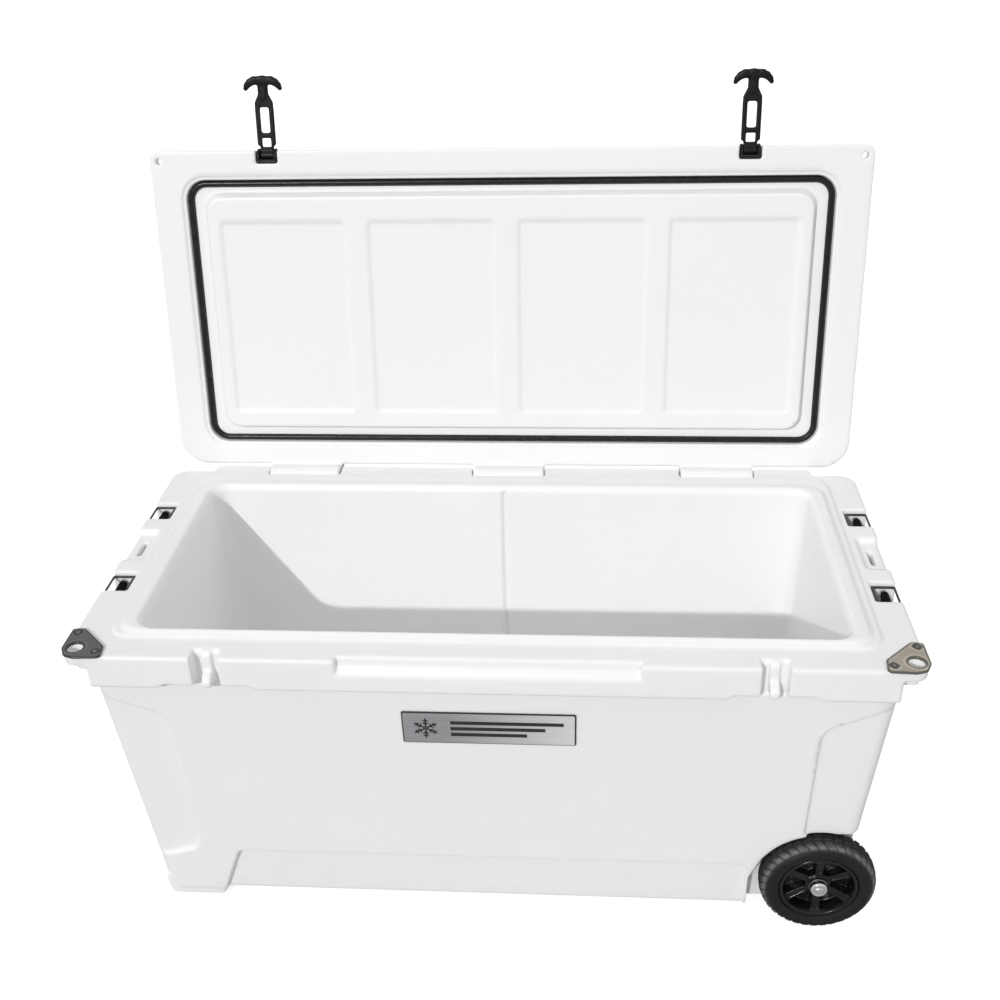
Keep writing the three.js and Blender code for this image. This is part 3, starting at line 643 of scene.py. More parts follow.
# ------------------------------------------------------------------ materials
def shell_material():
    """white polyethylene: orange peel, faint mottling, scuffed edges, painted shade with dust in inner corners"""
    m = Material("white_polyethylene")
    broad = m.noise(scale=5, detail=3, rough=0.5)
    mottle = m.noise(scale=60, detail=5, rough=0.6)
    grain = m.noise(scale=900, detail=2, rough=0.5)
    peel = m.noise(scale=420, detail=3, rough=0.55)
    base = m.mix(m.remap(broad, span=(0.3, 0.7)),
                 start=(0.922, 0.925, 0.926), to=(0.946, 0.946, 0.943))
    base = m.mix(m.remap(mottle, span=(0.35, 0.75), to=(0, 0.35)), base,
                 to=(0.905, 0.909, 0.914))
    curvature = m.attribute("curv")
    # painted shade: inner corners (concave curvature) darkened towards warm grey, mottled like dust
    dust = m.mask(m.remap(curvature, span=(-0.02, -0.3), to=(0, 0.30)),
                  m.remap(mottle, span=(0.3, 0.7), to=(0.4, 1.0)))
    base = m.mix(dust, base, to=(0.70, 0.695, 0.68))
    edge = m.remap(curvature, span=(0.10, 0.55))
    scuff = m.mask(edge, m.remap(m.noise(scale=140, detail=6, rough=0.7), span=(0.55, 0.68)))
    base = m.mix(m.times(scuff, 0.22), base, to=(0.80, 0.795, 0.785))
    height = m.split(m.coords())[2]
    grime = m.mask(m.remap(height, span=(0.10, -0.012)),
                   m.remap(m.noise(scale=38, detail=6, rough=0.65),
                           span=(0.52, 0.72), to=(0, 0.22)))
    m.put("Base Color", m.mix(grime, base, to=(0.72, 0.71, 0.69)))
    m.put("Roughness", m.math("ADD", m.remap(mottle, span=(0.3, 0.7), to=(0.37, 0.45)),
                              m.times(scuff, 0.12)))
    m.put("IOR", 1.5)
    m.bump(m.math("ADD", m.times(peel, 1.0), m.times(grain, 0.25)),
           strength=0.16, distance=0.0006)
    return m.data


def rubber_material(name, colour, rough, grain, dust, specular=0.5, bump=0.25):
    """dark rubber or plastic, greyed on its worn edges"""
    m = Material(name)
    mottle = m.noise(scale=90, detail=5, rough=0.6)
    fine = m.noise(scale=grain, detail=3, rough=0.6)
    lighter = tuple(min(1, c * 1.7 + 0.001) for c in colour)
    base = m.mix(m.remap(mottle, span=(0.35, 0.7)), start=colour, to=lighter)
    curvature = m.attribute("curv")
    wear = m.mask(m.remap(curvature, span=(0.25, 1.0)),
                  m.remap(m.noise(scale=260, detail=4, rough=0.7), span=(0.45, 0.65)))
    m.put("Base Color", m.mix(m.times(wear, dust), base, to=(0.11, 0.112, 0.115)))
    m.put("Roughness", m.remap(mottle, span=(0.3, 0.7), to=(rough - 0.06, rough + 0.07)))
    m.put("Specular IOR Level", specular)
    m.bump(fine, strength=bump, distance=0.0004)
    return m.data


def tyre_material():
    """tyre rubber: road dust on the tread and in the grain, darker walls, a painted highlight along the shoulders
    """
    m = Material("tyre_rubber")
    mottle = m.noise(scale=70, detail=6, rough=0.7)
    fine = m.noise(scale=700, detail=4, rough=0.65)
    spots = m.noise(scale=210, detail=5, rough=0.75)
    tread = m.attribute("tread")
    base = m.mix(m.remap(mottle, span=(0.3, 0.7)),
                 start=(0.0055, 0.0055, 0.0058), to=(0.0125, 0.0125, 0.0128))
    dust = m.mask(m.remap(spots, span=(0.42, 0.66)),
                  m.remap(tread, span=(0.0, 1.0), to=(0.10, 0.55)))
    base = m.mix(dust, base, to=(0.062, 0.062, 0.060))
    # painted highlight: a lighter band along the tyre's shoulders, broken up by noise
    band = m.mask(m.attribute("shoulder_highlight"),
                  m.remap(m.noise(scale=150, detail=5, rough=0.75),
                          span=(0.32, 0.60), to=(0.25, 1.0)))
    m.put("Base Color", m.mix(band, base, to=(0.19, 0.19, 0.185)))
    m.put("Roughness", m.remap(spots, span=(0.35, 0.7), to=(0.50, 0.78)))
    m.put("Specular IOR Level", 0.28)
    m.bump(m.math("ADD", fine, m.times(mottle, 0.4)), strength=0.45, distance=0.0006)
    return m.data


def brushed_material(name, colour, axis, rough, metal=1.0, rim=0.75, reflection_fade=None):
    """Metal brushed along one axis, with a painted dark reflection on its edges as strong as rim;
    the fade, if given, is (start x, end x, colour there) in metres, a painted reflection
    growing lighter towards end x."""
    m = Material(name)
    stretch = [1.0, 1.0, 1.0]
    stretch[axis] = 0.004
    vector = m.coords(scale=stretch)
    fine = m.noise(scale=2600, detail=2, rough=0.6, vector=vector)
    coarse = m.noise(scale=900, detail=3, rough=0.6, vector=vector)
    mottle = m.noise(scale=45, detail=5, rough=0.6)
    lines = m.math("ADD", m.times(fine, 0.6), m.times(coarse, 0.4))
    base = m.mix(m.remap(lines, span=(0.35, 0.65)),
                 start=scaled(colour, 0.80), to=scaled(colour, 1.12))
    dirt = m.times(m.remap(mottle, span=(0.45, 0.75)), 0.15)
    base = m.mix(dirt, base, to=scaled(colour, 0.55))
    # painted reflection: the metal grows lighter towards end x
    if reflection_fade:
        share = m.remap(m.split(m.coords())[0], span=reflection_fade[:2])
        far = m.mix(m.remap(lines, span=(0.35, 0.65)),
                    start=scaled(reflection_fade[2], 0.88), to=scaled(reflection_fade[2], 1.08))
        base = m.mix(share, base, to=far)
    # painted dark reflection on convex edges, scaled by rim
    curvature = m.attribute("curv")
    m.put("Base Color", m.mix(m.times(m.remap(curvature, span=(0.10, 0.45)), rim), base,
                              to=(0.03, 0.03, 0.031)))
    m.put("Metallic", metal)
    m.put("Roughness", m.remap(lines, span=(0.3, 0.7), to=(rough - 0.07, rough + 0.11)))
    m.bump(lines, strength=0.22, distance=0.0002)
    return m.data


def chrome_material():
    m = Material("polished_chrome")
    mottle = m.noise(scale=30, detail=4, rough=0.6)
    fine = m.noise(scale=900, detail=4, rough=0.7)
    m.put("Base Color", m.mix(m.remap(mottle, span=(0.3, 0.7)),
                              start=(0.80, 0.80, 0.82), to=(0.90, 0.90, 0.91)))
    m.put("Metallic", 1.0)
    m.put("Roughness", m.remap(fine, span=(0.4, 0.8), to=(0.05, 0.16)))
    m.bump(fine, strength=0.04, distance=0.0002)
    return m.data


def web_material():
    """black woven webbing: two sets of slanting waves"""
    m = Material("black_webbing")
    place = m.split(m.coords())
    waves = [m.math("SINE", m.times(m.math(way, place[1], m.times(place[2], 0.5)), 4200.0))
             for way in ("ADD", "SUBTRACT")]
    weave = m.times(*waves)
    fuzz = m.noise(scale=1500, detail=4, rough=0.7)
    base = m.mix(m.remap(weave, span=(-1, 1)),
                 start=(0.0012, 0.0012, 0.0014), to=(0.0045, 0.0045, 0.0050))
    m.put("Base Color", m.mix(m.remap(fuzz, span=(0.6, 0.8), to=(0, 0.15)), base,
                              to=(0.03, 0.03, 0.031)))
    m.put("Roughness", m.remap(fuzz, span=(0.3, 0.7), to=(0.62, 0.85)))
    m.put("Specular IOR Level", 0.12)
    m.bump(m.math("ADD", weave, m.times(fuzz, 0.6)), strength=0.6, distance=0.0002)
    return m.data


def foam_material():
    m = Material("insulating_foam")
    cells = m.add("ShaderNodeTexVoronoi")
    cells.inputs["Scale"].default_value = 700
    m.feed(cells.inputs["Vector"], m.coords())
    m.put("Base Color", m.mix(m.noise(scale=30, detail=4, rough=0.6),
                              start=(0.76, 0.66, 0.40), to=(0.82, 0.74, 0.50)))
    m.put("Roughness", m.remap(m.noise(scale=400, detail=2, rough=0.5),
                               span=(0.3, 0.7), to=(0.85, 0.97)))
    m.bump(cells.outputs["Distance"], strength=0.5, distance=0.0006)
    return m.data


def thread_material():
    m = Material("stitching_thread")
    fibre = m.noise(scale=2600, detail=3, rough=0.6)
    m.put("Base Color", m.mix(fibre, start=(0.03, 0.03, 0.032), to=(0.075, 0.075, 0.08)))
    m.put("Roughness", m.remap(fibre, span=(0.3, 0.7), to=(0.5, 0.7)))
    m.bump(fibre, strength=0.5, distance=0.0002)
    return m.data


def enamel_material():
    m = Material("black_enamel")
    mottle = m.noise(scale=60, detail=4, rough=0.6)
    fine = m.noise(scale=1400, detail=3, rough=0.6)
    m.put("Base Color", m.mix(mottle, start=(0.010, 0.010, 0.011), to=(0.024, 0.024, 0.026)))
    m.put("Roughness", m.remap(fine, span=(0.3, 0.7), to=(0.30, 0.42)))
    m.bump(fine, strength=0.12, distance=0.0002)
    return m.data


def floor_material():
    """pale floor, lit up for the camera only"""
    m = Material("pale_floor")
    m.put("Base Color", m.mix(m.noise(scale=3, detail=3, rough=0.5),
                              start=(0.4925, 0.4925, 0.4925), to=(0.50, 0.50, 0.50)))
    m.put("Roughness", 0.8)
    m.put("Specular IOR Level", 0.1)
    path = m.add("ShaderNodeLightPath")
    m.put("Emission Color", (1, 1, 1, 1))
    m.put("Emission Strength", m.times(path.outputs["Is Camera Ray"], 0.78))
    return m.data


SHELL = shell_material()
RUBBER = rubber_material("latch_rubber", (0.0042, 0.0045, 0.0052), rough=0.42, grain=1300,
                         dust=0.12, specular=0.26)
SEAL = rubber_material("seal_rubber", (0.0040, 0.0046, 0.0054), rough=0.30, grain=1500,
                       dust=0.06, specular=0.40, bump=0.12)
FOOT = rubber_material("foot_rubber", (0.012, 0.012, 0.013), rough=0.62, grain=900, dust=0.35)
NYLON = rubber_material("black_nylon", (0.0045, 0.0047, 0.0052), rough=0.34, grain=800,
                        dust=0.15, specular=0.32, bump=0.14)
RIM = rubber_material("rim_plastic", (0.0040, 0.0041, 0.0045), rough=0.24, grain=700,
                      dust=0.25, specular=0.40, bump=0.10)
TYRE = tyre_material()
# brushed metals: rim sets the strength of the painted dark reflection on their edges
STEEL = brushed_material("brushed_stainless", (0.44, 0.44, 0.43), axis=0, rough=0.30)
STEEL_ACROSS = brushed_material("brushed_stainless_across", (0.58, 0.58, 0.57), axis=1,
                                rough=0.24)
# the badge's fade is a painted reflection, lighter towards its right end
BADGE = brushed_material("brushed_aluminium", (0.42, 0.43, 0.445), axis=0, rough=0.34,
                         metal=0.45, rim=0.3, reflection_fade=(-0.05, 0.10, (0.90, 0.90, 0.90)))
# The corner plates are one steel: the left copy is painted with a dark reflection, the right copy with a warm
# light reflection.
PLATE_LEFT_DARK_REFLECTION = brushed_material("brushed_stainless_plate_left_dark_reflection", (0.27, 0.285, 0.295), axis=0,
                              rough=0.30, metal=0.5, rim=0.85)
PLATE_RIGHT_WARM_REFLECTION = brushed_material("brushed_stainless_plate_right_warm_reflection", (0.98, 0.83, 0.68), axis=0,
                               rough=0.34, metal=0.08, rim=0.9)
FRAME_STEEL = brushed_material("brushed_stainless_frame", (0.60, 0.60, 0.60), axis=1,
                               rough=0.26, metal=0.5, rim=0.95)
CHROME = chrome_material()
WEB = web_material()
FOAM = foam_material()
THREAD = thread_material()
ENAMEL = enamel_material()

for core in ("tub_foam_core", "lid_foam_core"):
    core_mesh = frame["nodes"][core].data
    core_mesh.materials.clear()
    core_mesh.materials.append(FOAM)


# ------------------------------------------------------------------ tub shell
def tub_wall(end_inset, side_inset, corner):
    """distance to the leaning outer wall, moved inwards"""
    def distance(x, y, z):
        half_x = WALL_HALF_X + WALL_LEAN_X * (z - WALL_Z) / WALL_RISE - end_inset
        half_y = WALL_HALF_Y + WALL_LEAN_Y * (z - WALL_Z) / WALL_RISE - side_inset
        return round_rect(x, y, -half_x, half_x, -half_y, half_y, corner) * 0.996
    return distance


def cut_tub_walls(field):
    """grip bays in the ends, and sunk panels along the front and back"""
    for side in (-1, 1):
        field.cut(round_block("x", (-102, 142, 296, 400), 14,
                              *sorted((side * 468, side * 520)), 5), 5)
        for y in HANDLE_Y.values():
            field.cut(block(side * 472, side * 512, y - 18, y + 18, 370, 423, 1.5), 1.5)
    # outlines as (x, z)
    middle = fillet([[-341, 88], [326, 88], [326, -30], [-385.25, -30]], [16, 12, 4, 4], 8, True)
    left = fillet([[-540, 378], [-459, 355], [-403, 333], [-396, 324], [-391, 108], [-398, 91],
                   [-449, 74], [-540, 62]], [0, 0, 14, 14, 14, 14, 0, 0], 6, True)
    right = fillet([[540, 378], [462, 359], [404, 332], [394, 317], [392, 150], [400, 141],
                    [540, 141]], [0, 0, 14, 14, 12, 12, 0], 6, True)
    inner = tub_wall(7, 7, 13)
    for span in ((-262, -120), (120, 262)):
        field.cut(outside(prism("y", middle, *span), inner, 2.5), 2.5)
    inner = tub_wall(-3, 6, 20)
    for span in ((-262, -150), (150, 262)):
        for outline in (left, right):
            field.cut(outside(prism("y", outline, *span), inner, 2.5), 2.5)


def join_tub_flange(field):
    flange = field.above(362)

    def rim(x, y, z):
        corner = np.where(y < 0, np.float32(16), np.float32(22))
        return soft_max(round_rect(x, y, -500, 500, -232, 232, corner), slab(z, 386, 432), 4.5)

    flange.join(everywhere(rim))
    for side, (a, b) in ((-1, (-391, -272)), (1, (276, 386))):
        flange.cut(block(side * 472, side * 530, -280, -198, 340, 417, 3), 3)
        under = [[a, 366], [b, 366], [b, 386], [b - 9, 392], [a + 9, 392], [a, 386]]
        flange.cut(prism("y", under, -262, -219), 2.5)
        for y in HANDLE_Y.values():
            flange.cut(block(side * 467, side * 530, y - 21, y + 21, 424, 460, 2), 3)
            flange.cut(block(side * 472, side * 530, y - 18, y + 18, 350, 440, 1.5), 1.2)
        flange.cut(block(side * 471, side * 530, -16, 56, 424, 462, 5), 6)
        slot_x = side * 484.5
        flange.cut(round_block("z", (slot_x - 3, slot_x + 3, 3, 37), 2.95, 350, 450), 1.5)
    upper = field.values[:, :, -flange.values.shape[2]:]
    upper[...] = soft_min(upper, flange.values, 3.0)


def join_tub_details(field):
    """two-step sealing lip, moulded feet and fixed hinge barrels"""
    field.join(round_block("z", (-457.5, 457.5, -193, 219), 27, 405, 435, 3.0), 2.5)
    field.join(tapered((-445, 445, -186, 188), 439.5, (-450, 450, -190, 192), 431, 26, 4.0), 3.5)
    foot = fillet([[-451.5, 34], [-451.5, 13], [-447.5, 1], [-443, -2.6], [-375, -2.6],
                   [-368, 12], [-366, 34]], [0, 6, 6, 5, 3, 4, 0], 5, True)       # x, z
    for end in (-1, 1):
        field.join(prism("y", foot, *sorted((end * 143, end * 187)), 3.5), 2.5)
    barrel = fillet([[222, 396], [222, 431], [247, 432], [251.5, 428], [253, 422],
                     [251.5, 415.5], [247, 410.5], [240, 407.5], [230, 400]],
                    [0, 0, 4, 4, 4, 4, 4, 4, 0], 4, True)                         # y, z
    edges = [c + half for c in KNUCKLES for half in (-KNUCKLE_HALF, KNUCKLE_HALF)]
    edges = [-BARREL_END, *edges, BARREL_END]
    for start, end in zip(edges[::2], edges[1::2]):
        field.join(prism("x", barrel, start, end, 2.5), 2.0)


def cut_tub_cavity(field):
    """the inside, with a divider groove in its front and back walls"""
    def cavity(x, y, z):
        share = (z - 104) / 338.5
        half_x = 409.4 + 15.6 * share
        y0, y1 = -156.4 - 21.6 * share, 152.4 + 20.6 * share
        low = np.clip((104 - z) / 14, 0, 1)
        rim = np.maximum(0, z - 431.5) * 0.42
        half_x = half_x - 11 * low * low + rim
        y0, y1 = y0 + 11 * low * low - rim, y1 - 11 * low * low + rim
        around = round_rect(x, y, -half_x, half_x, y0, y1, 25) * 0.95
        return soft_max(around, 90 - z, 22)

    def groove(x, y, z):
        share = (z - 104) / 338.5
        around = round_rect(x, y, -6, 0, -160.4 - 21.6 * share, 156.4 + 20.6 * share, 2.9)
        return soft_max(around, slab(z, 104, 431.5), 1)

    field.cut((cavity, (-430, -183, 90), (430, 178, 460)), 3.0)
    field.cut((groove, (-6, -182, 104), (0, 177, 431.5)), 2.6)


def shape_tub_front(field):
    """finger scoop along the flange, latch keepers and holes at the front corners"""
    scoop = fillet([[-221.5, 440], [-223.5, 420.5], [-236, 408], [-250, 408], [-250, 440]],
                   [0, 8, 0, 0, 0], 6, True)
    field.cut(prism("x", scoop, -175, 178), 3.5)
    # outlines as (y, z)
    pocket = [[-205, 440], [-214, 428], [-214, 385.2], [-262, 385.2], [-262, 440]]
    post = fillet([[-208, 431], [-208, 389], [-231, 389], [-233.5, 391], [-233.5, 398],
                   [-229, 403.5], [-219.8, 407], [-219.8, 425], [-216, 431]],
                  [0, 0, 2, 2, 3, 3, 6, 5, 2], 4, True)
    rib = [[-208, 392], [-208, 385.5], [-226, 385.5], [-228.5, 389], [-228.5, 392]]
    for x in (-LATCH_X, LATCH_X):
        field.cut(prism("x", pocket, x - 16, x + 16, 2.0), 1.6)
        field.join(prism("x", post, x - 5.8, x + 5.8, 2.0), 1.6)
        field.join(prism("x", rib, x - 3.2, x + 3.2, 1), 1)
    for side in (-1, 1):
        field.cut(cylinder("z", 8.4, side * 486, -217.5, 390, 460), 1)


def cut_tub_wells(field):
    """wheel wells and the axle bore"""
    side = fillet([[330, -30], [330, 64], [349, 112], [560, 112], [560, -30]],
                  [0, 16, 20, 0, 0], 6, True)
    for y0, y1 in ((-290, -169), (169, 290)):
        def well(x, y, z):
            arch = np.hypot(x - WHEEL_X, z - WHEEL_Z) - 78
            hollow = soft_min(arch, polygon(side, x, z), 2)
            hollow = np.minimum(hollow, np.maximum(WHEEL_X - x, z - 143.5))
            return soft_max(hollow, slab(y, y0, y1), 4)
        field.cut((well, (328, y0, -20), (540, y1, 147)), 3.5)
    field.cut(cylinder("y", 6.4, WHEEL_X, WHEEL_Z, -205, 205), 1)


def cut_tub_bores(field):
    """hinge notches and bore, handle pin bores and the stepped drain"""
    for x in KNUCKLES:
        field.cut(block(x - KNUCKLE_HALF, x + KNUCKLE_HALF, 218.5, 290, 402, 465, 2), 1.5)
    field.cut(cylinder("x", HINGE_BORE, HINGE_Y, HINGE_Z, -445, 445))
    for side in (-1, 1):
        for y in HANDLE_Y.values():
            field.cut(cylinder("y", 3.4, side * HANDLE_X, HANDLE_Z, y - 23.5, y + 23.5))
    field.cut(cylinder("x", 11.4, 0, DRAIN_Z, -472, -395))
    field.cut(cylinder("x", 21, 0, DRAIN_Z, -490, -450), 1)
    field.cut(cylinder("x", 17, 0, DRAIN_Z, -412, -396), 1)


def cut_tub_void(field):
    """the void that holds the foam, and its filling hole"""
    def void(x, y, z):
        share = (z - 20) / 404
        half_x, half_y = 433 + 31 * share, 173 + 32 * share
        space = np.maximum(round_rect(x, y, -half_x, half_x, -half_y, half_y, 18),
                           slab(z, 20, 424))
        share = (z - 84) / 356
        half_x, y0, y1 = 414 + 17 * share, -165 - 22 * share, 161 + 21 * share
        liner = np.maximum(round_rect(x, y, -half_x, half_x, y0, y1, 34), 84 - z)
        space = np.maximum(space, -liner)
        for y0, y1 in ((-290, -161), (161, 290)):
            space = np.maximum(space, -largest(321 - x, slab(y, y0, y1), z - 165))
        space = np.maximum(space, -np.maximum(400 - x, z - 92))
        return np.maximum(space, -np.maximum(np.hypot(y, z - DRAIN_Z) - 26, x + 405))

    field.cut((void, (-470, -210, 14), (470, 210, 430)))
    field.cut(cylinder("z", 16, FILL_X, 0, -20, 30))


def build_tub():
    field = Field((-508, -244, -9), (508, 262, 452), TUB_STEP)
    wall = tub_wall(0, 0, 26)
    field.join(everywhere(
        lambda x, y, z: soft_max(soft_max(wall(x, y, z), 8 - z, 6), z - 394, 1)))
    for stage in (cut_tub_walls, join_tub_flange, join_tub_details, cut_tub_cavity,
                  shape_tub_front, cut_tub_wells, cut_tub_bores, cut_tub_void):
        stage(field)
    add_skin("tub_shell", "skin", skin(field, 0.75, 0.02), SHELL)


# ------------------------------------------------------------------ lid shell, drawn shut
def lid_slab(x, y, z):
    inset = np.maximum(0, z - 473) * (9.5 / 13.0)
    draft = np.clip((z - LID_UNDER) / 37.0, 0, 1)
    corner = np.where(y < 0, np.float32(12), np.float32(40))
    around = round_rect(x, y, -495 + 2 * draft + inset, 495 - 2 * draft - inset,
                        -231 + 3.5 * draft + inset, 225 - draft - inset, corner)
    around = around * np.where(z > 473, np.float32(0.81), np.float32(1.0))
    return soft_max(soft_max(around, z - LID_TOP, 7), LID_UNDER - z, 3.0)


def lid_channel(x, y, z):
    """the seal channel: a narrow groove with a wider mouth, round the plug"""
    plug = -round_rect(x, y, -422, 422, -172, 167, 22)
    groove = np.maximum(round_rect(x, y, -448.7, 448.7, -191.2, 190.2, 28.7), plug)
    groove = soft_max(groove, slab(z, LID_UNDER - 20, LID_UNDER + 9.5), 2)
    mouth = np.maximum(round_rect(x, y, -454, 454, -196.5, 195.5, 33), plug)
    mouth = soft_max(mouth, slab(z, LID_UNDER - 20, LID_UNDER + 2.5), 1.2)
    return soft_min(groove, mouth, 0.8)


def lid_void(x, y, z):
    main = np.maximum(round_rect(x, y, -476, 476, -196, 213, 28),
                      slab(z, LID_UNDER + 15, LID_UNDER + 42))
    plug = np.maximum(round_rect(x, y, -404, 404, -155, 150, 14),
                      slab(z, LID_UNDER, LID_UNDER + 20))
    return np.minimum(main, plug)


def build_lid():
    under, top = LID_UNDER, LID_TOP
    field = Field((-502, -240, 402), (502, 262, 494), LID_STEP)
    field.join(everywhere(lid_slab))
    field.cut(tapered((-424, 424, -172, 172), top + 14,
                      (-415.5, 415.5, -163.5, 163.5), top - 3, 24, 3), 4)
    field.cut((lid_channel, (-454, -197, under - 20), (454, 196, under + 9.5)), 1.6)
    field.join(tapered((-422, 422, -172, 167), under + 9.6,
                       (-418.5, 418.5, -168.5, 163.5), under - 8, 22, 3.0), 1.5)
    # four shallow pockets in the plug
    for a, b in ((-401, -225), (-193, -17), (17, 193), (225, 401)):
        field.cut(tapered((a + 2, b - 2, -133, 138), under - 5.5,
                          (a - 3, b + 3, -138, 143), under - 14, 6, 2.0), 3.0)
    # stepped front corners with a hole, and latch slots
    step = [[458, -290], [550, -290], [550, -200], [470, -200], [458, -215]]
    for side in (-1, 1):
        field.cut(prism("z", [[side * x, y] for x, y in step], under + 15, top + 30, 4), 4)
        field.cut(cylinder("z", 4.2, side * 482, -216.5, under - 30, under + 40), 1.2)
        x = side * LATCH_X
        field.cut(block(x - 15, x + 15, -290, -213, under - 40, under + 37, 2), 1.6)
    arm = [[222.5, under + 1], [228, under - 1.5], [250.5, HINGE_Z + 6], [249, HINGE_Z + 14],
           [236, under + 20], [222.5, under + 26]]
    for x in KNUCKLES:
        field.join(prism("x", arm, x - 52, x + 52, 2.5), 3)
        field.join(cylinder("x", 15, HINGE_Y, HINGE_Z, x - 52, x + 52, 3), 4)
    field.cut(cylinder("x", HINGE_BORE, HINGE_Y, HINGE_Z, -400, 400))
    field.cut((lid_void, (-476, -196, under), (476, 213, under + 42)))
    field.cut(round_block("y", (139, 161, under + 19, under + 36), 8, 200, 240))
    add_skin("lid_shell", "skin", skin(field, 0.75, 0.02), SHELL, lid=True)


# ------------------------------------------------------------------ lid gasket
def rounded_path(x0, x1, y0, y1, radius, steps=24, straight_steps=24):
    """points of a rounded rectangle and their outward normals"""
    points, normals = [], []
    for x, y, start in ((x1 - radius, y1 - radius, 0), (x0 + radius, y1 - radius, 90),
                        (x0 + radius, y0 + radius, 180), (x1 - radius, y0 + radius, 270)):
        for k in range(steps + 1):
            angle = math.radians(start + 90 * k / steps)
            points.append((x + radius * math.cos(angle), y + radius * math.sin(angle)))
            normals.append((math.cos(angle), math.sin(angle)))
    path, path_normals = [], []
    for i, (here, normal) in enumerate(zip(points, normals)):
        path.append(here)
        path_normals.append(normal)
        ahead = points[(i + 1) % len(points)]
        if math.dist(here, ahead) > 30:
            for k in range(1, straight_steps):
                share = k / straight_steps
                path.append(tuple(a * (1 - share) + b * share for a, b in zip(here, ahead)))
                path_normals.append(normal)
    return np.array(path), np.array(path_normals)


def build_gasket():
    """a rubber section with a rounded bulb, swept round the lid's channel"""
    path, normals = rounded_path(-443.15, 443.15, -185.65, 184.65, 23.2)
    # section: offset outwards, height
    section = [(-4.6, 4.9), (-4.6, 3.6), (-3.9, 3.2), (-3.7, 2.6)]
    for k in range(13):
        angle = math.radians(200 + 140 * k / 12)
        section.append((3.3 * math.cos(angle) - 0.2, 2.35 + 2.2 * math.sin(angle)))
    section += [(3.5, 2.6), (3.8, 3.2), (4.6, 3.6), (4.6, 4.9)]
    section = fillet(section, 0.35, 2, True)
    points = np.empty((len(path), len(section), 3))
    points[:, :, :2] = path[:, None] + normals[:, None] * section[None, :, :1]
    points[:, :, 2] = LID_UNDER + 4.3 + section[:, 1]
    add_mesh("lid_gasket", "bulb", points.reshape(-1, 3),
             [ring_quads(len(path), len(section))], [SEAL], lid=True, sharp=55)


# ------------------------------------------------------------------ T-latches, drawn shut
# T-bar stations: x, distance from the pin, radius, half thickness
T_BAR = [
    (-23.6, 88.0, 3.0, 4.2), (-21.2, 92.2, 3.9, 4.8), (-17.0, 95.9, 4.8, 5.3),
    (-11.5, 98.1, 5.4, 5.5), (0, 98.6, 5.8, 5.5), (11.5, 98.1, 5.4, 5.5),
    (17.0, 95.9, 4.8, 5.3), (21.2, 92.2, 3.9, 4.8), (23.6, 88.0, 3.0, 4.2),
]


def strap_field():
    """x across, y out from the pin, z through the thickness"""
    field = Field((-29, -9, -8.5), (29, 108, 8.5), 0.45)
    outline = fillet(
        [[-9.3, 0], [-9.3, 11.8], [-12.8, 14.4], [-12.8, 62], [-12.4, 70], [-9.4, 76], [-7, 81],
         [-7, 91], [-10, 96], [10, 96], [7, 91], [7, 81], [9.4, 76], [12.4, 70], [12.8, 62],
         [12.8, 14.4], [9.3, 11.8], [9.3, 0]],
        [0, 2, 3, 4, 5, 6, 6, 4, 0, 0, 4, 6, 6, 5, 4, 3, 2, 0], 5, True)
    field.join(prism("z", outline, -2.7, 2.7, 2.0))
    # two windows right through
    for start, end, radius in ((11.5, 23.0, 1.6), (30.0, 63.5, 3.0)):
        field.cut(round_block("z", (-6.3, 6.3, start, end), radius, -1000, 1000), 1.4)
    field.join(cylinder("x", 6.0, 0, 0, -9.3, 9.3, 1.6), 2.0)
    for (x0, y0, r0, t0), (x1, y1, r1, t1) in zip(T_BAR[:-1], T_BAR[1:]):
        def capsule(x, y, z):
            run_x, run_y = x1 - x0, y1 - y0
            share = ((x - x0) * run_x + (y - y0) * run_y) / (run_x * run_x + run_y * run_y)
            share = np.clip(share, 0, 1)
            radius, half = r0 + (r1 - r0) * share, t0 + (t1 - t0) * share
            away = np.hypot(x - x0 - run_x * share, y - y0 - run_y * share)
            return soft_max(away - radius, np.abs(z) - half, 4.0)
        field.join((capsule, (min(x0, x1) - 6, min(y0, y1) - 6, -6),
                    (max(x0, x1) + 6, max(y0, y1) + 6, 6)), 1.6)
    # raised rib down the neck, and the pin bore
    field.join(prism("z", [[-3.2, 74], [-3.6, 92], [3.6, 92], [3.2, 74]], -3.7, 3.7, 1.5), 2.5)
    field.cut(cylinder("x", 2.75, 0, 0, -20, 20))
    # ribs across the crossbar between the windows
    for y in (25.2, 27.8):
        field.join(cylinder("x", 0.9, y, 1.85, -5.5, 5.5, 0.5), 0.5)
        field.join(cylinder("x", 0.9, y, -2.5, -5.5, 5.5, 0.5), 0.8)
    return field


def bracket_field():
    """x across, y out from the pin, z up from the lid's underside"""
    pin_z = 12
    field = Field((-17, -13, -3), (17, 13, 28), 0.4)
    field.join(block(-13.6, 13.6, -9.4, -6.6, 0.8, 24, 1.0))
    cheek = fillet([[-9.2, 0.8], [-9.2, 24], [-2, 22], [5, 19.5], [9, 15], [9.2, 10], [7, 5],
                    [1, 0.8]], [0, 1.5, 3, 4, 3, 3, 4, 3], 4, True)
    for side in (-1, 1):
        field.join(prism("x", cheek, *sorted((side * 9.8, side * 13.6)), 1.3), 0.8)
    for side in (-1, 1):
        field.join(cylinder("x", 4.2, 0, pin_z, *sorted((side * 12.9, side * 13.6)), 0.4), 0.5)
    field.cut(cylinder("x", 2.75, 0, pin_z, -20, 20))
    return field


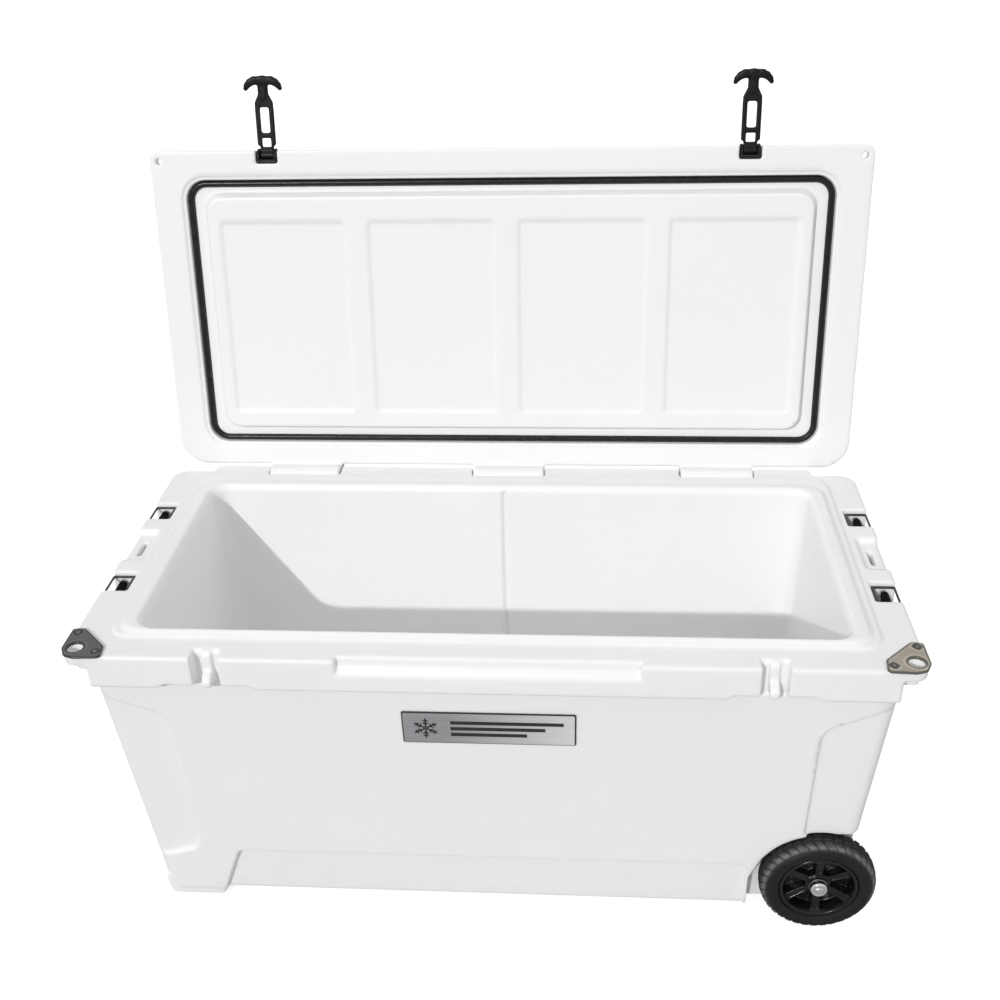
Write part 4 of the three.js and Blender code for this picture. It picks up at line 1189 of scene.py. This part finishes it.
def build_latches():
    surface = skin(strap_field(), 0.8)
    for side, sign in SIDES:
        add_skin(f"latch_strap_{side}", "rubber", surface, RUBBER, turn=axes(1, -2, -3),
                 offset=(sign * LATCH_X, LATCH_Y, LATCH_Z), lid=True)
    surface = skin(bracket_field())
    pin = [[0, -13.2], [2.0, -13.2], [2.4, -12.6], [2.4, 12.6], [2.0, 13.2], [0, 13.2]]
    for side, sign in SIDES:
        add_skin(f"latch_base_{side}", "moulding", surface, NYLON, turn=axes(1, -2, 3),
                 offset=(sign * LATCH_X, LATCH_Y, LID_UNDER), lid=True)
        add_turned(f"latch_pin_{side}", "rod", pin, STEEL_ACROSS, along_x(),
                   (sign * LATCH_X, LATCH_Y, LATCH_Z), 48, radius=0.15, lid=True)


# ------------------------------------------------------------------ corner plates and screws
SCREWS = ((-493, -187.5), (-459.5, -224))      # x, y on the left plate
PLATE_HOLE = (-486, -217.5)


def plate_field():
    """the left plate, in place"""
    field = Field((-505, -241, 430), (-447, -176, 438), 0.42)
    outline = fillet([[-502, -180], [-487, -179], [-453, -213], [-450.5, -232], [-454, -236],
                      [-482, -237.5], [-495, -233.5], [-502, -219]],
                     [3.5, 5, 5, 3, 3, 8, 9, 8], 7, True)
    field.join(prism("z", outline, 432.3, 435.2, 1.1))
    # a shallow step inside the rim, a ring round the hole and pads for the screws
    field.cut((lambda x, y, z: largest(polygon(outline, x, y) + 2.0, 434.85 - z, 0),
               (-505, -241, 434), (-447, -176, 440)), 0.5)
    hole_x, hole_y = PLATE_HOLE
    field.join(extrude("z", lambda x, y: np.abs(np.hypot(x - hole_x, y - hole_y) - 11.2) - 1.3,
                       ((-497, -229), (-474, -206)), (433, 435.2)), 0.4)
    for x, y in SCREWS:
        field.join(cylinder("z", 5.9, x, y, 433, 435.2), 0.4)
    field.cut(cylinder("z", 9.3, *PLATE_HOLE, 420, 450), 0.9)
    for screw_x, screw_y in SCREWS:
        def countersink(x, y, z):
            radius = np.maximum(2.6, 2.6 + (z - 432.9) * 0.79)
            return np.hypot(x - screw_x, y - screw_y) - radius
        field.cut((countersink, (screw_x - 7, screw_y - 7, 420),
                   (screw_x + 7, screw_y + 7, 450)), 0.3)
    return field


def screw_field():
    """a countersunk screw pointing down, with a cross recess"""
    field = Field((-5, -5, -12.5), (5, 5, 4.5), 0.22)

    def body(x, y, z):
        away = np.hypot(x, y)
        radius = np.clip(1.5 + (z - 0.7) * 1.04, 1.5, 4.1)
        return largest(away - radius, z - 3.3, -11.5 - z + away * 0.6)

    field.join((body, (-5, -5, -12), (5, 5, 4)))
    for angle in (0.35, 0.35 + math.pi / 2):
        cos, sin = math.cos(angle), math.sin(angle)
        field.cut((lambda x, y, z: largest(np.abs(x * cos + y * sin) - 2.3,
                                           np.abs(-x * sin + y * cos) - 0.55,
                                           1.4 + np.hypot(x, y) * 0.5 - z),
                   (-3, -3, 1), (3, 3, 5)), 0.2)
    field.cut((lambda x, y, z: np.maximum(thread(x, y, z, 1.28, 5.2, 0.22), z - 0.2),
               (-2, -2, -12), (2, 2, 0.5)), 0.05)
    return field


def build_corner_plates():
    plate = skin(plate_field(), adapt=0.005)
    screw = skin(screw_field(), 0.6)
    # one steel, painted with a dark reflection on the left plate and a warm light one on the right
    for (side, sign), material in zip(SIDES, (PLATE_LEFT_DARK_REFLECTION, PLATE_RIGHT_WARM_REFLECTION)):
        add_skin(f"corner_plate_{side}", "steel", plate, material, turn=axes(-sign, 2, 3))
        for i, (x, y) in enumerate(SCREWS):
            add_skin(f"corner_screw_{side}_{i + 1}", "steel", screw, STEEL_ACROSS,
                     offset=(-sign * x, y, 432.0))


# ------------------------------------------------------------------ badge
# Drawn with x along, y up the front wall and z out of it
BADGE_Z = 322.0
BADGE_PLACE = {
    "turn": lambda v: rotate_x(np.asarray(v, float),
                               math.pi / 2 + math.atan(WALL_LEAN_Y / WALL_RISE)),
    "offset": (-0.5, -(WALL_HALF_Y + WALL_LEAN_Y * (BADGE_Z - WALL_Z) / WALL_RISE), BADGE_Z),
}


def bar(x0, y0, x1, y1, width, point=0.0):
    """outline of a straight bar; point gives it pointed ends"""
    length = math.hypot(x1 - x0, y1 - y0)
    along_u, along_v = (x1 - x0) / length, (y1 - y0) / length
    side_u, side_v = -along_v * width / 2, along_u * width / 2
    tip_u, tip_v = along_u * width * 0.5 * point, along_v * width * 0.5 * point
    return [(x0 + side_u, y0 + side_v), (x0 - tip_u, y0 - tip_v), (x0 - side_u, y0 - side_v),
            (x1 - side_u, y1 - side_v), (x1 + tip_u, y1 + tip_v), (x1 + side_u, y1 + side_v)]


def badge_marks():
    """a snow crystal and three plain bars"""
    marks = []
    centre = -76.0
    for k in range(6):
        angle = math.radians(60 * k + 90)
        cos, sin = math.cos(angle), math.sin(angle)
        marks.append(bar(centre + cos * 1.6, sin * 1.6, centre + cos * 15.2, sin * 15.2, 2.1, 1))
        for out, length in ((6.6, 4.0), (10.8, 3.2)):
            for side in (-1, 1):
                branch = angle + side * math.radians(58)
                x, y = centre + cos * out, sin * out
                marks.append(bar(x, y, x + math.cos(branch) * length,
                                 y + math.sin(branch) * length, 1.6, 1))
    for i, end in enumerate((90, 68, 46)):
        y = 9.5 - 9.5 * i
        marks.append(bar(-46, y, end, y, 5.2))
    return marks


def raised(outlines, low, high):
    """points and triangles of flat convex strokes with small bevels"""
    points, tris = [], []
    for outline in outlines:
        outline = np.asarray(outline, float)
        u, v = outline.T
        if (u * np.roll(v, -1) - np.roll(u, -1) * v).sum() < 0:
            outline = outline[::-1]
        centre = outline.mean(0)
        count = len(outline)
        out = outline - centre
        length = np.maximum(np.linalg.norm(out, axis=1), 0.3)
        inset = centre + out * (1 - 0.22 / length)[:, None]
        first = len(points)
        points += [(x, y, low) for x, y in outline]
        points += [(x, y, high - 0.12) for x, y in outline]
        points += [(x, y, high) for x, y in inset]
        points += [(*centre, high), (*centre, low)]
        rim, top = first + 2 * count, first + 3 * count
        for i in range(count):
            j = (i + 1) % count
            for ring in (first, first + count):
                above = ring + count
                tris += [(ring + i, ring + j, above + j), (ring + i, above + j, above + i)]
            tris += [(rim + i, rim + j, top), (first + j, first + i, top + 1)]
    return np.array(points, float), np.array(tris)


def build_badge():
    field = Field((-108, -29, -1.5), (108, 29, 4), 0.5)
    field.join(round_block("z", (-105, 105, -25.5, 25.5), 2.6, 0.3, 1.9, 0.9))
    add_skin("badge_backing", "border", skin(field), ENAMEL, **BADGE_PLACE)

    field = Field((-106, -27, 0.5), (106, 27, 4), 0.4)
    field.join(round_block("z", (-103.2, 103.2, -23.7, 23.7), 1.6, 1.7, 2.6, 0.5))
    points, (tris, quads), _, _ = skin(field, 0.5)
    mark_points, mark_tris = raised(badge_marks(), 2.4, 2.85)
    add_mesh("badge_plate", "metal", np.vstack([points, mark_points]),
             [np.vstack([tris, mark_tris + len(points)]), quads], [BADGE, ENAMEL],
             material_index=[0] * len(tris) + [1] * len(mark_tris) + [0] * len(quads),
             sharp=35, **BADGE_PLACE)


# ------------------------------------------------------------------ drain
def build_drain():
    """profiles are (radius, distance left of the middle)"""
    centre = (0, 0, DRAIN_Z)
    bushing = [[8, 410], [11, 410], [11, 450.4], [19, 450.4], [19, 453.4], [18, 454.4],
               [8, 454.4]]
    flange = [[8.05, 408.8], [15, 408.8], [16, 409.8], [16, 411.7], [8.05, 411.7]]
    seal = [[8.4, 454.8], [12.5, 454.8], [12.5, 456.8], [8.4, 456.8]]
    add_turned("drain_bushing", "moulding", bushing, NYLON, along_x(-1), centre, radius=0.8)
    add_turned("drain_bushing", "flange", flange, NYLON, along_x(-1), centre, radius=0.4,
               body="tub")
    add_turned("drain_seal", "ring", seal, SEAL, along_x(-1), centre, radius=0.8)

    # the plug: z outwards, x up; a tapered shank, a fluted cap and a raised grip bar
    field = Field((-20, -20, 420), (20, 20, 478), 0.45)

    def shank(x, y, z):
        radius = np.clip(6.4 + (z - 424) * 0.55, 6.4, 7.5)
        return np.maximum(np.hypot(x, y) - radius, slab(z, 424, 458))

    def cap(x, y, z):
        flutes = 0.45 * (0.5 + 0.5 * np.cos(np.arctan2(y, x) * 36))
        return soft_max(np.hypot(x, y) - 17 + flutes, slab(z, 457.2, 464.5), 2.0)

    field.join((shank, (-8, -8, 424), (8, 8, 458)))
    field.join((cap, (-17, -17, 457), (17, 17, 465)), 0.4)
    field.join(block(-14, 14, -3.5, 3.5, 463, 474, 1.8), 2.5)
    field.cut((lambda x, y, z: np.maximum(thread(x, y, z, 7.0, 3.1, 0.35),
                                          np.abs(z - 440) - 13),
               (-8, -8, 426), (8, 8, 454)), 0.2)
    add_skin("drain_plug", "cap", skin(field), NYLON, turn=axes(-3, 2, 1), offset=centre)


# ------------------------------------------------------------------ carry handles
LOOP_RADIUS, NECK_RADIUS = 4.5, 8.9       # webbing round the pin and round the grip's neck
WEB_HALF, WEB_THICK = 14.6, 0.75          # half width, half thickness


def handle_frame(sign):
    """a steel frame with its window a little outwards"""
    field = Field((-18, -23, -2), (18, 23, 5), 0.4)
    field.join(round_block("z", (-15.5, 15.5, -20, 20), 3.2, 0, 2.6, 1.2))
    middle, half = sign * 0.8, 12.0
    field.cut(round_block("z", (middle - half, middle + half, -16.2, 16.2), 2.4,
                          -1000, 1000), 0.6)
    return skin(field, adapt=0.005)


def web_path():
    """closed centre line of the webbing in (x, z) about the pin"""
    neck_z = GRIP_Z - HANDLE_Z
    points = []
    for k in range(25):
        angle = math.radians(-35 + 250 * k / 24)
        points.append((LOOP_RADIUS * math.cos(angle), LOOP_RADIUS * math.sin(angle)))
    leg = [(1.1, -14.5), (1.0, -20), (1.0, -40), (1.0, neck_z + 27), (1.3, neck_z + 20)]
    points += [(-x, z) for x, z in leg]
    for k in range(29):
        angle = math.radians(142 + 256 * k / 28)
        points.append((NECK_RADIUS * math.cos(angle), neck_z + NECK_RADIUS * math.sin(angle)))
    points += leg[::-1]
    path = resample(np.array(points + points[:1]),
                    lambda total: np.linspace(0, total, int(total / 0.75), endpoint=False))
    for _ in range(3):
        path = (np.roll(path, 1, 0) + 2 * path + np.roll(path, -1, 0)) / 4
    return path


def web_mesh():
    path = web_path()
    count = len(path)
    tangent = np.roll(path, -1, 0) - np.roll(path, 1, 0)
    tangent /= np.linalg.norm(tangent, axis=1)[:, None]
    normal = np.stack([tangent[:, 1], -tangent[:, 0]], 1)
    across = np.linspace(-WEB_HALF, WEB_HALF, 37)
    edge = np.sqrt(np.clip(1 - (np.abs(across) / WEB_HALF) ** 10, 0, 1))
    columns = len(across)
    step = np.arange(count)[:, None]
    slant = across[None, :] * 2.9
    weave = 0.10 * np.sin(slant + step * 1.05) * np.sin(slant - step * 1.05)
    points = np.empty((2, count, columns, 3))
    for face, sign in zip(points, (1, -1)):
        lift = sign * (WEB_THICK * (0.35 + 0.65 * edge)[None, :] + weave)
        face[:, :, 0] = path[:, 0:1] + normal[:, 0:1] * lift
        face[:, :, 1] = across[None, :] + 0.05 * np.sin(step * 2.1)
        face[:, :, 2] = path[:, 1:2] + normal[:, 1:2] * lift
    size = count * columns
    front = ring_quads(count, columns, open_columns=True)
    row = np.arange(count) * columns
    next_row = np.roll(row, -1)
    low_edge = np.stack([row, row + size, next_row + size, next_row], -1)
    last = columns - 1
    high_edge = np.stack([row + last, next_row + last, next_row + last + size,
                          row + last + size], -1)
    return points.reshape(-1, 3), np.vstack([front, front[:, ::-1] + size, low_edge, high_edge])


def stitch_mesh():
    """rows of thread on both faces of the webbing"""
    rows = []                             # y, z of each stitch's ends
    for z in (-22.0, -25.5, -52.0, -55.5):
        for k in range(1, 9):
            rows.append((-12.6 + 3.15 * k, z, -12.6 + 3.15 * k - 2.1, z))
    for y in (-12.0, 12.0):
        for k in range(7):
            rows.append((y, -23.5 - 4.3 * k, y, -23.5 - 4.3 * k - 2.8))
    points, quads = [], []
    for face in (1, -1):
        for y0, z0, y1, z1 in rows:
            first = len(points)
            length = math.hypot(y1 - y0, z1 - z0)
            side_y, side_z = -(z1 - z0) / length, (y1 - y0) / length
            for t in range(7):
                share = t / 6
                swell = math.sin(math.pi * share)
                x = face * (1.78 + 0.34 * swell)
                y, z = y0 + (y1 - y0) * share, z0 + (z1 - z0) * share
                radius = 0.34 * (0.35 + 0.65 * swell)
                for g in range(8):
                    angle = 2 * math.pi * g / 8
                    out, aside = radius * math.cos(angle), radius * math.sin(angle)
                    points.append((x + out * face, y + side_y * aside, z + side_z * aside))
            for t in range(6):
                for g in range(8):
                    a, b = first + t * 8 + g, first + t * 8 + (g + 1) % 8
                    quads.append((a, b, b + 8, a + 8))
            end = first + 48
            quads += [(first, first + g, first + g + 1, first + g + 2) for g in (1, 3, 5)]
            quads += [(end + g + 2, end + g + 1, end + g, end) for g in (1, 3, 5)]
    return np.array(points, float), np.array(quads)


def grip_profile():
    """(radius, y) of the grip: a ribbed barrel with a neck and a collar at each end"""
    neck = 90.0
    end = fillet([[0, -neck - 23], [9, -neck - 23], [11.5, -neck - 21], [11.5, -neck - 16],
                  [7.1, -neck - 16], [7.1, -neck + 16], [11, -neck + 16], [13.4, -neck + 22]],
                 [0, 1.5, 1.5, 1.2, 0.8, 0.8, 1.5, 0], 4)
    barrel = []
    for k in range(1, 241):
        y = -neck + 22 + (2 * neck - 44) * k / 241
        swell = 0.6 * math.sin(math.pi * k / 241) ** 0.6
        rib = 0.0
        if abs(y) < 58:
            rib = 0.35 * max(0.0, math.cos(2 * math.pi * (y + 2.25) / 4.5))
        barrel.append([13.4 + swell - rib, y])
    return np.vstack([end, barrel, end[::-1] * [1, -1]])


def build_handles():
    web_points, web_quads = web_mesh()
    stitch_points, stitch_quads = stitch_mesh()
    points = np.vstack([web_points, stitch_points])
    quads = np.vstack([web_quads, stitch_quads + len(web_points)])
    material_index = [0] * len(web_quads) + [1] * len(stitch_quads)
    profile = grip_profile()
    for side, sign in SIDES:
        surface = handle_frame(sign)
        x = sign * HANDLE_X
        for end, y in HANDLE_Y.items():
            add_skin(f"handle_frame_{side}_{end}", "steel", surface, FRAME_STEEL,
                     offset=(sign * 483.5, y, 424.4))
            add_rod(f"handle_pin_{side}_{end}", "rod", 3.0, 23, 0.6, STEEL_ACROSS, along_y(),
                    (x, y, HANDLE_Z), 40)
            add_mesh(f"handle_strap_{side}_{end}", "webbing", points, [quads], [WEB, THREAD],
                     offset=(x, y, HANDLE_Z), material_index=material_index)
        add_turned(f"handle_grip_{side}", "moulding", profile, NYLON, along_y(),
                   (x, 20.0, GRIP_Z), 64, sharp=50)


# ------------------------------------------------------------------ wheels
# Drawn about the axle, the third axis counting outwards from the wheel's inner face
TREAD_RADIUS = 74.5
TYRE_PROFILE = [                          # radius, distance from the inner face
    [50.9, 4.0], [51.5, 2.6], [55, 1.2], [61, 0.2], [64.2, 1.0], [65.2, 2.4], [66.6, 3.0],
    [69.4, 4.6], [72.2, 8.4], [73.8, 13.5], [74.45, 21], [73.8, 28.5], [72.2, 33.6],
    [69.4, 37.4], [66.6, 39.0], [65.2, 39.6], [64.2, 41.0], [61, 41.8], [55, 40.8],
    [51.5, 39.4], [50.9, 38.0],
]


def tread_grooves(along, across):
    """0 to 1: how deep in a groove a place on the tread lies"""
    pitch = 2 * math.pi * TREAD_RADIUS / 36
    wide = np.abs(across)

    def groove(phase, width):
        away = np.abs((phase + 0.5) % 1.0 - 0.5)
        return 1 / (1 + np.exp((away - width) * 40))

    def band(away, half):
        return 1 / (1 + np.exp((np.abs(away) - half) * 5))

    outer_half = (np.sign(across + 1e-6) > 0) * 0.5
    chevrons = groove((along + wide * 0.75) / pitch + outer_half, 0.105) * (wide > 6.2)
    zigzag = 1.5 * np.abs(((along / pitch * 2) % 1.0) - 0.5) * 2 - 0.75
    side_bands = band(wide - 6.6 - zigzag, 0.95)
    middle_band = band(across + zigzag * 0.9, 0.75)
    sipes = groove((along - across * 0.5) / pitch * 3, 0.05) * (wide < 5.0) * 0.35
    inner = groove((along - wide * 0.9) / pitch + 0.25, 0.09) * (wide <= 6.8)
    return np.clip(largest(chevrons, side_bands, middle_band, sipes, inner), 0, 1)


def tyre_mesh(turns=432, columns=112):
    """(points, quads, attributes) of the treaded tyre"""
    path = resample(fillet(TYRE_PROFILE, 2.2, 4),
                    lambda total: np.linspace(0, total, columns))
    tangent = np.gradient(path, axis=0)
    tangent /= np.linalg.norm(tangent, axis=1)[:, None]
    angle = np.linspace(0, 2 * math.pi, turns, endpoint=False)[:, None]
    along = angle * TREAD_RADIUS
    radius, depth_in = path[:, 0][None, :], path[:, 1][None, :]
    on_tread = 1 / (1 + np.exp(-(radius - 68.2) * 1.6))
    grooves = tread_grooves(along, depth_in - 21.0)
    # fine rings on the side walls, lugs at the shoulders
    rings = (-0.22 * (np.exp(-((radius - 56.2) / 0.45) ** 2)
                      + np.exp(-((radius - 62.6) / 0.45) ** 2))
             + 0.25 * np.exp(-((radius - 59.4) / 0.7) ** 2)) * (radius < 64.5)
    lugs = 0.45 * (1 / (1 + np.exp(-np.cos(along / TREAD_RADIUS * 36) * 6)))
    lugs = lugs * np.exp(-((radius - 67.0) / 1.5) ** 2)
    lift = -1.9 * grooves * on_tread + rings - lugs * 0.6
    out = radius + tangent[None, :, 1] * lift
    side = depth_in - tangent[None, :, 0] * lift
    points = np.stack([out * np.cos(angle), out * np.sin(angle), side], -1).reshape(-1, 3)
    # where the tyre material paints a highlight along the shoulders
    shoulder_highlight = np.exp(-((radius - 70.0) / 2.4) ** 2) * (1 - 0.6 * grooves)
    attributes = {"tread": (on_tread * (1 - grooves)).reshape(-1),
                  "shoulder_highlight": shoulder_highlight.reshape(-1)}
    return points, ring_quads(turns, columns), attributes


def rim_field():
    width = WHEEL_WIDTH
    field = Field((-53, -53, -1), (53, 53, 45), 0.62)
    # profiles: radius, distance from the inner face
    barrel = fillet([[43.2, 7], [47.5, 5], [50.4, 5], [50.4, width - 5], [49.2, width - 2.6],
                     [45.4, width - 3.6], [43.2, width - 9]], [1, 1, 1, 1, 1.6, 1.6, 2], 4, True)
    hub = fillet([[9.4, 1], [15, 1], [17, 8], [17, width - 12], [14.5, width - 9.5],
                  [9.4, width - 9.5]], [0.6, 1, 2, 2, 1.4, 0.6], 4, True)

    def dish(x, y, z):
        """the web behind the arms"""
        radius = np.hypot(x, y)
        middle = width - 25.5 + 2.0 * ((radius - 30) / 15) ** 2
        return soft_max(np.maximum(radius - 45, 14 - radius), np.abs(z - middle) - 1.3, 0.5)

    field.join((lambda x, y, z: polygon(barrel, np.hypot(x, y), z),
                (-51, -51, 5), (51, 51, width)))
    field.join((dish, (-46, -46, width - 29), (46, 46, width - 19)), 2.0)
    field.join((lambda x, y, z: polygon(hub, np.hypot(x, y), z),
                (-18, -18, 1), (18, 18, width - 9)), 2.0)
    for i in range(6):
        angle = math.radians(60 * i + 30)
        cos, sin = math.cos(angle), math.sin(angle)

        def arm(x, y, z):
            """an arm with a trough down its middle"""
            out, aside = x * cos + y * sin, np.abs(-x * sin + y * cos)
            half = 4.3 + 0.035 * (out - 14) * 1.6
            top = width - 11.5 + (out - 14) / 31 * 3.6
            plan = largest(aside - half, 14 - out, out - 45)
            body = soft_max(plan, np.maximum(z - top, (width - 23) - z), 1.6)
            trough = largest(aside - (half - 1.7), 19 - out, out - 41, (top - 1.5) - z)
            return soft_max(body, -trough, 0.8)

        field.join((arm, (-47, -47, width - 24), (47, 47, width - 6)), 2.2)
    field.cut(cylinder("z", 9.4, 0, 0, -10, 60))
    return field


def build_wheels():
    width = WHEEL_WIDTH
    # profiles: radius, distance from the inner face
    sleeve = [[6.35, 0.6], [9.05, 0.6], [9.05, width - 9.1], [6.35, width - 9.1]]
    washer = [[6.35, width - 8.7], [12, width - 8.7], [12, width - 7.1], [6.35, width - 7.1]]
    nut = fillet([[0, width + 3.0], [2.4, width + 2.8], [4.6, width + 2.0], [5.6, width + 0.9],
                  [6.6, width + 0.5], [7.6, width + 0.8], [8.6, width + 1.3],
                  [9.9, width + 0.6], [11.3, width - 1.2], [12, width - 4.5],
                  [11.5, width - 6.7], [6.35, width - 6.7], [6.35, width - 3.4],
                  [0, width - 3.4]],
                 [0, 4, 2.5, 0.6, 0.6, 0.6, 1.2, 2.5, 3, 1.2, 0.4, 0.3, 0.3, 0], 4)
    points, quads, attributes = tyre_mesh()
    rim = skin(rim_field(), 0.75)
    centres = {sign: (WHEEL_X, sign * (WHEEL_FACE - width), WHEEL_Z) for _, sign in ENDS}
    for end, sign in ENDS:
        centre = centres[sign]
        outwards = axes(1, sign * 3, 2)
        add_mesh(f"tyre_{end}", "rubber", points, [quads], [TYRE], turn=outwards,
                 offset=centre, attributes=attributes)
        add_skin(f"wheel_rim_{end}", "moulding", rim, RIM, turn=outwards, offset=centre)
        add_turned(f"wheel_bushing_{end}", "sleeve", sleeve, NYLON, along_y(sign), centre, 64,
                   radius=0.3)
        add_turned(f"axle_washer_{end}", "steel", washer, STEEL_ACROSS, along_y(sign), centre,
                   64, radius=0.3)
    for end, sign in ENDS:
        add_turned(f"axle_nut_{end}", "dome", nut, CHROME, along_y(sign), centres[sign], 96,
                   sharp=60)
    add_rod("axle", "rod", 6, 210, 0.8, STEEL_ACROSS, along_y(), (WHEEL_X, 0, WHEEL_Z), 64)


# ------------------------------------------------------------------ feet, hinge rod, filling plugs
def build_feet():
    for end, sign in ENDS:
        y0, y1 = sorted((sign * 147, sign * 175))
        field = Field((-441, y0 - 3, -10), (-379, y1 + 3, 0), 0.6)
        field.join(round_block("z", (-438, -382, y0, y1), 6.5, -7, -3.3, 1.4))
        for k in range(6):
            x = -430.5 + 8.2 * k
            field.cut(block(x - 1.1, x + 1.1, y0 + 4, y1 - 4, -12, -5.9, 0.5), 0.5)
        add_skin(f"rubber_foot_{end}", "pad", skin(field), FOOT)


def build_hinge():
    centre = (0, HINGE_Y, HINGE_Z)
    add_rod("hinge_rod", "steel", 4, 433, 0.6, STEEL, along_x(), centre, 48)
    cap = [[0, 433.6], [4, 433.8], [4, 440.4], [4.6, 440.4], [4.6, 442.6], [0, 443.4]]
    for side, sign in SIDES:
        add_turned(f"hinge_rod_cap_{side}", "moulding", cap, NYLON, along_x(sign), centre, 48,
                   radius=0.3)


def build_fill_plugs():
    """slotted discs: one under the tub, one in the back edge of the lid"""
    field = Field((-198, -18, 6), (-162, 18, 15), 0.55)

    def disc(x, y, z):
        radius = np.clip(14.5 + (z - 8.6), 14.5, 15.6)
        return soft_max(np.hypot(x - FILL_X, y) - radius, slab(z, 8.6, 12.6), 0.8)

    field.join((disc, (-196, -16, 8), (-164, 16, 13)))
    field.cut((lambda x, y, z: largest(np.abs(x - FILL_X) - 8, np.abs(y) - 1.6, z - 10.2),
               (-190, -3, 6), (-170, 3, 11)), 0.6)
    field.cut((lambda x, y, z: np.maximum(np.abs(np.hypot(x - FILL_X, y) - 11.6) - 0.6,
                                          z - 9.1),
               (-193, -13, 6), (-167, 13, 10)), 0.3)
    add_skin("tub_fill_plug", "disc", skin(field), SHELL)

    under = LID_UNDER
    field = Field((136, 210, under + 16), (164, 228, under + 39), 0.55)
    field.join(round_block("y", (139.4, 160.6, under + 19.4, under + 35.6), 7.6,
                           213.6, 224.5, 1.2))
    field.cut((lambda x, y, z: largest(np.abs(x - 150) - 4.5, np.abs(z - under - 27.5) - 1.1,
                                       223.2 - y),
               (144, 222, under + 25), (156, 228, under + 30)), 0.5)
    add_skin("lid_fill_plug", "disc", skin(field), SHELL, lid=True)


# ------------------------------------------------------------------ stage, light and camera
# Sky brightness at SKY_HEIGHTS (the z of the view direction), on each side
SKY_HEIGHTS = (0.0, 0.35, 0.7, 1.0)
SKY_FRONT = (0.39, 0.485, 0.64, 0.71)
SKY_BACK = (0.545, 0.64, 0.58, 0.71)
SKY_LEFT = (0.465, 0.535, 0.62, 0.71)
SKY_RIGHT = (0.525, 0.65, 0.68, 0.71)


def build_floor():
    half, z = 30.0, FLOOR / 1000
    material = floor_material()
    mesh = bpy.data.meshes.new("floor")
    mesh.from_pydata([(-half, -half, z), (half, -half, z), (half, half, z), (-half, half, z)],
                     [], [(0, 1, 2, 3)])
    mesh.materials.append(material)
    floor = bpy.data.objects.new("floor", mesh)
    bpy.context.scene.collection.objects.link(floor)


def build_world():
    """a soft studio sky, blended round the compass; the camera sees plain white"""
    world = bpy.data.worlds.new("studio")
    bpy.context.scene.world = world
    world.use_nodes = True
    n = Nodes(world.node_tree)
    output = n.add("ShaderNodeOutputWorld")
    background = n.add("ShaderNodeBackground")
    n.feed(output.inputs[0], background.outputs[0])
    path = n.add("ShaderNodeLightPath")
    source = n.add("ShaderNodeTexCoord")
    x, y, z = n.split(source.outputs["Generated"])
    flat = n.math("MAXIMUM", n.math("SUBTRACT", 1.0, n.times(z, z)), 1e-6)
    flat = n.math("SQRT", flat, 0.0)
    east, north = n.math("DIVIDE", x, flat), n.math("DIVIDE", y, flat)
    sides = ((n.times(north, -1.0), SKY_FRONT), (north, SKY_BACK),
             (n.times(east, -1.0), SKY_LEFT), (east, SKY_RIGHT))
    sky = None
    for toward, brightness in sides:
        weight = n.math("MAXIMUM", toward, 0.0)
        part = n.times(n.times(weight, weight), n.ramp(z, list(zip(SKY_HEIGHTS, brightness))))
        sky = part if sky is None else n.math("ADD", sky, part)
    n.feed(background.inputs[0], n.mix(path.outputs["Is Camera Ray"], sky, to=(1, 1, 1)))
    background.inputs[1].default_value = 1.0


def build_sun():
    """a key light from the upper left, in front"""
    sun = bpy.data.lights.new("key", "SUN")
    sun.energy = 1.55
    sun.angle = math.radians(1.3)
    lamp = bpy.data.objects.new("key", sun)
    lamp.rotation_mode = "QUATERNION"
    shining = Vector((0.36, 0.83, -0.49)).normalized()
    lamp.rotation_quaternion = shining.to_track_quat("-Z", "Y")
    bpy.context.scene.collection.objects.link(lamp)


def build_camera():
    """in front, looking down and back"""
    lens = bpy.data.cameras.new("camera")
    camera = bpy.data.objects.new("camera", lens)
    bpy.context.scene.collection.objects.link(camera)
    heading, down, roll = math.radians(4.454), math.radians(29.43), math.radians(-1.655)
    forward = Vector((-math.sin(heading) * math.cos(down), math.cos(heading) * math.cos(down),
                      -math.sin(down)))
    level = Vector((math.cos(heading), math.sin(heading), 0))
    upright = level.cross(forward)
    right = level * math.cos(roll) + upright * math.sin(roll)
    up = -level * math.sin(roll) + upright * math.cos(roll)
    pose = Matrix((right, up, -forward)).transposed().to_4x4()
    pose.translation = Vector((0.108535, -1.337099, 1.2651))
    camera.matrix_world = pose
    lens.sensor_width = 36.0
    lens.lens = 43.52
    lens.clip_start, lens.clip_end = 0.01, 200
    bpy.context.scene.camera = camera
    bpy.context.scene.view_settings.view_transform = "Standard"


for build in (build_tub, build_lid, build_gasket, build_latches, build_corner_plates,
              build_badge, build_drain, build_handles, build_wheels, build_feet, build_hinge,
              build_fill_plugs, build_floor, build_world, build_sun, build_camera):
    build()
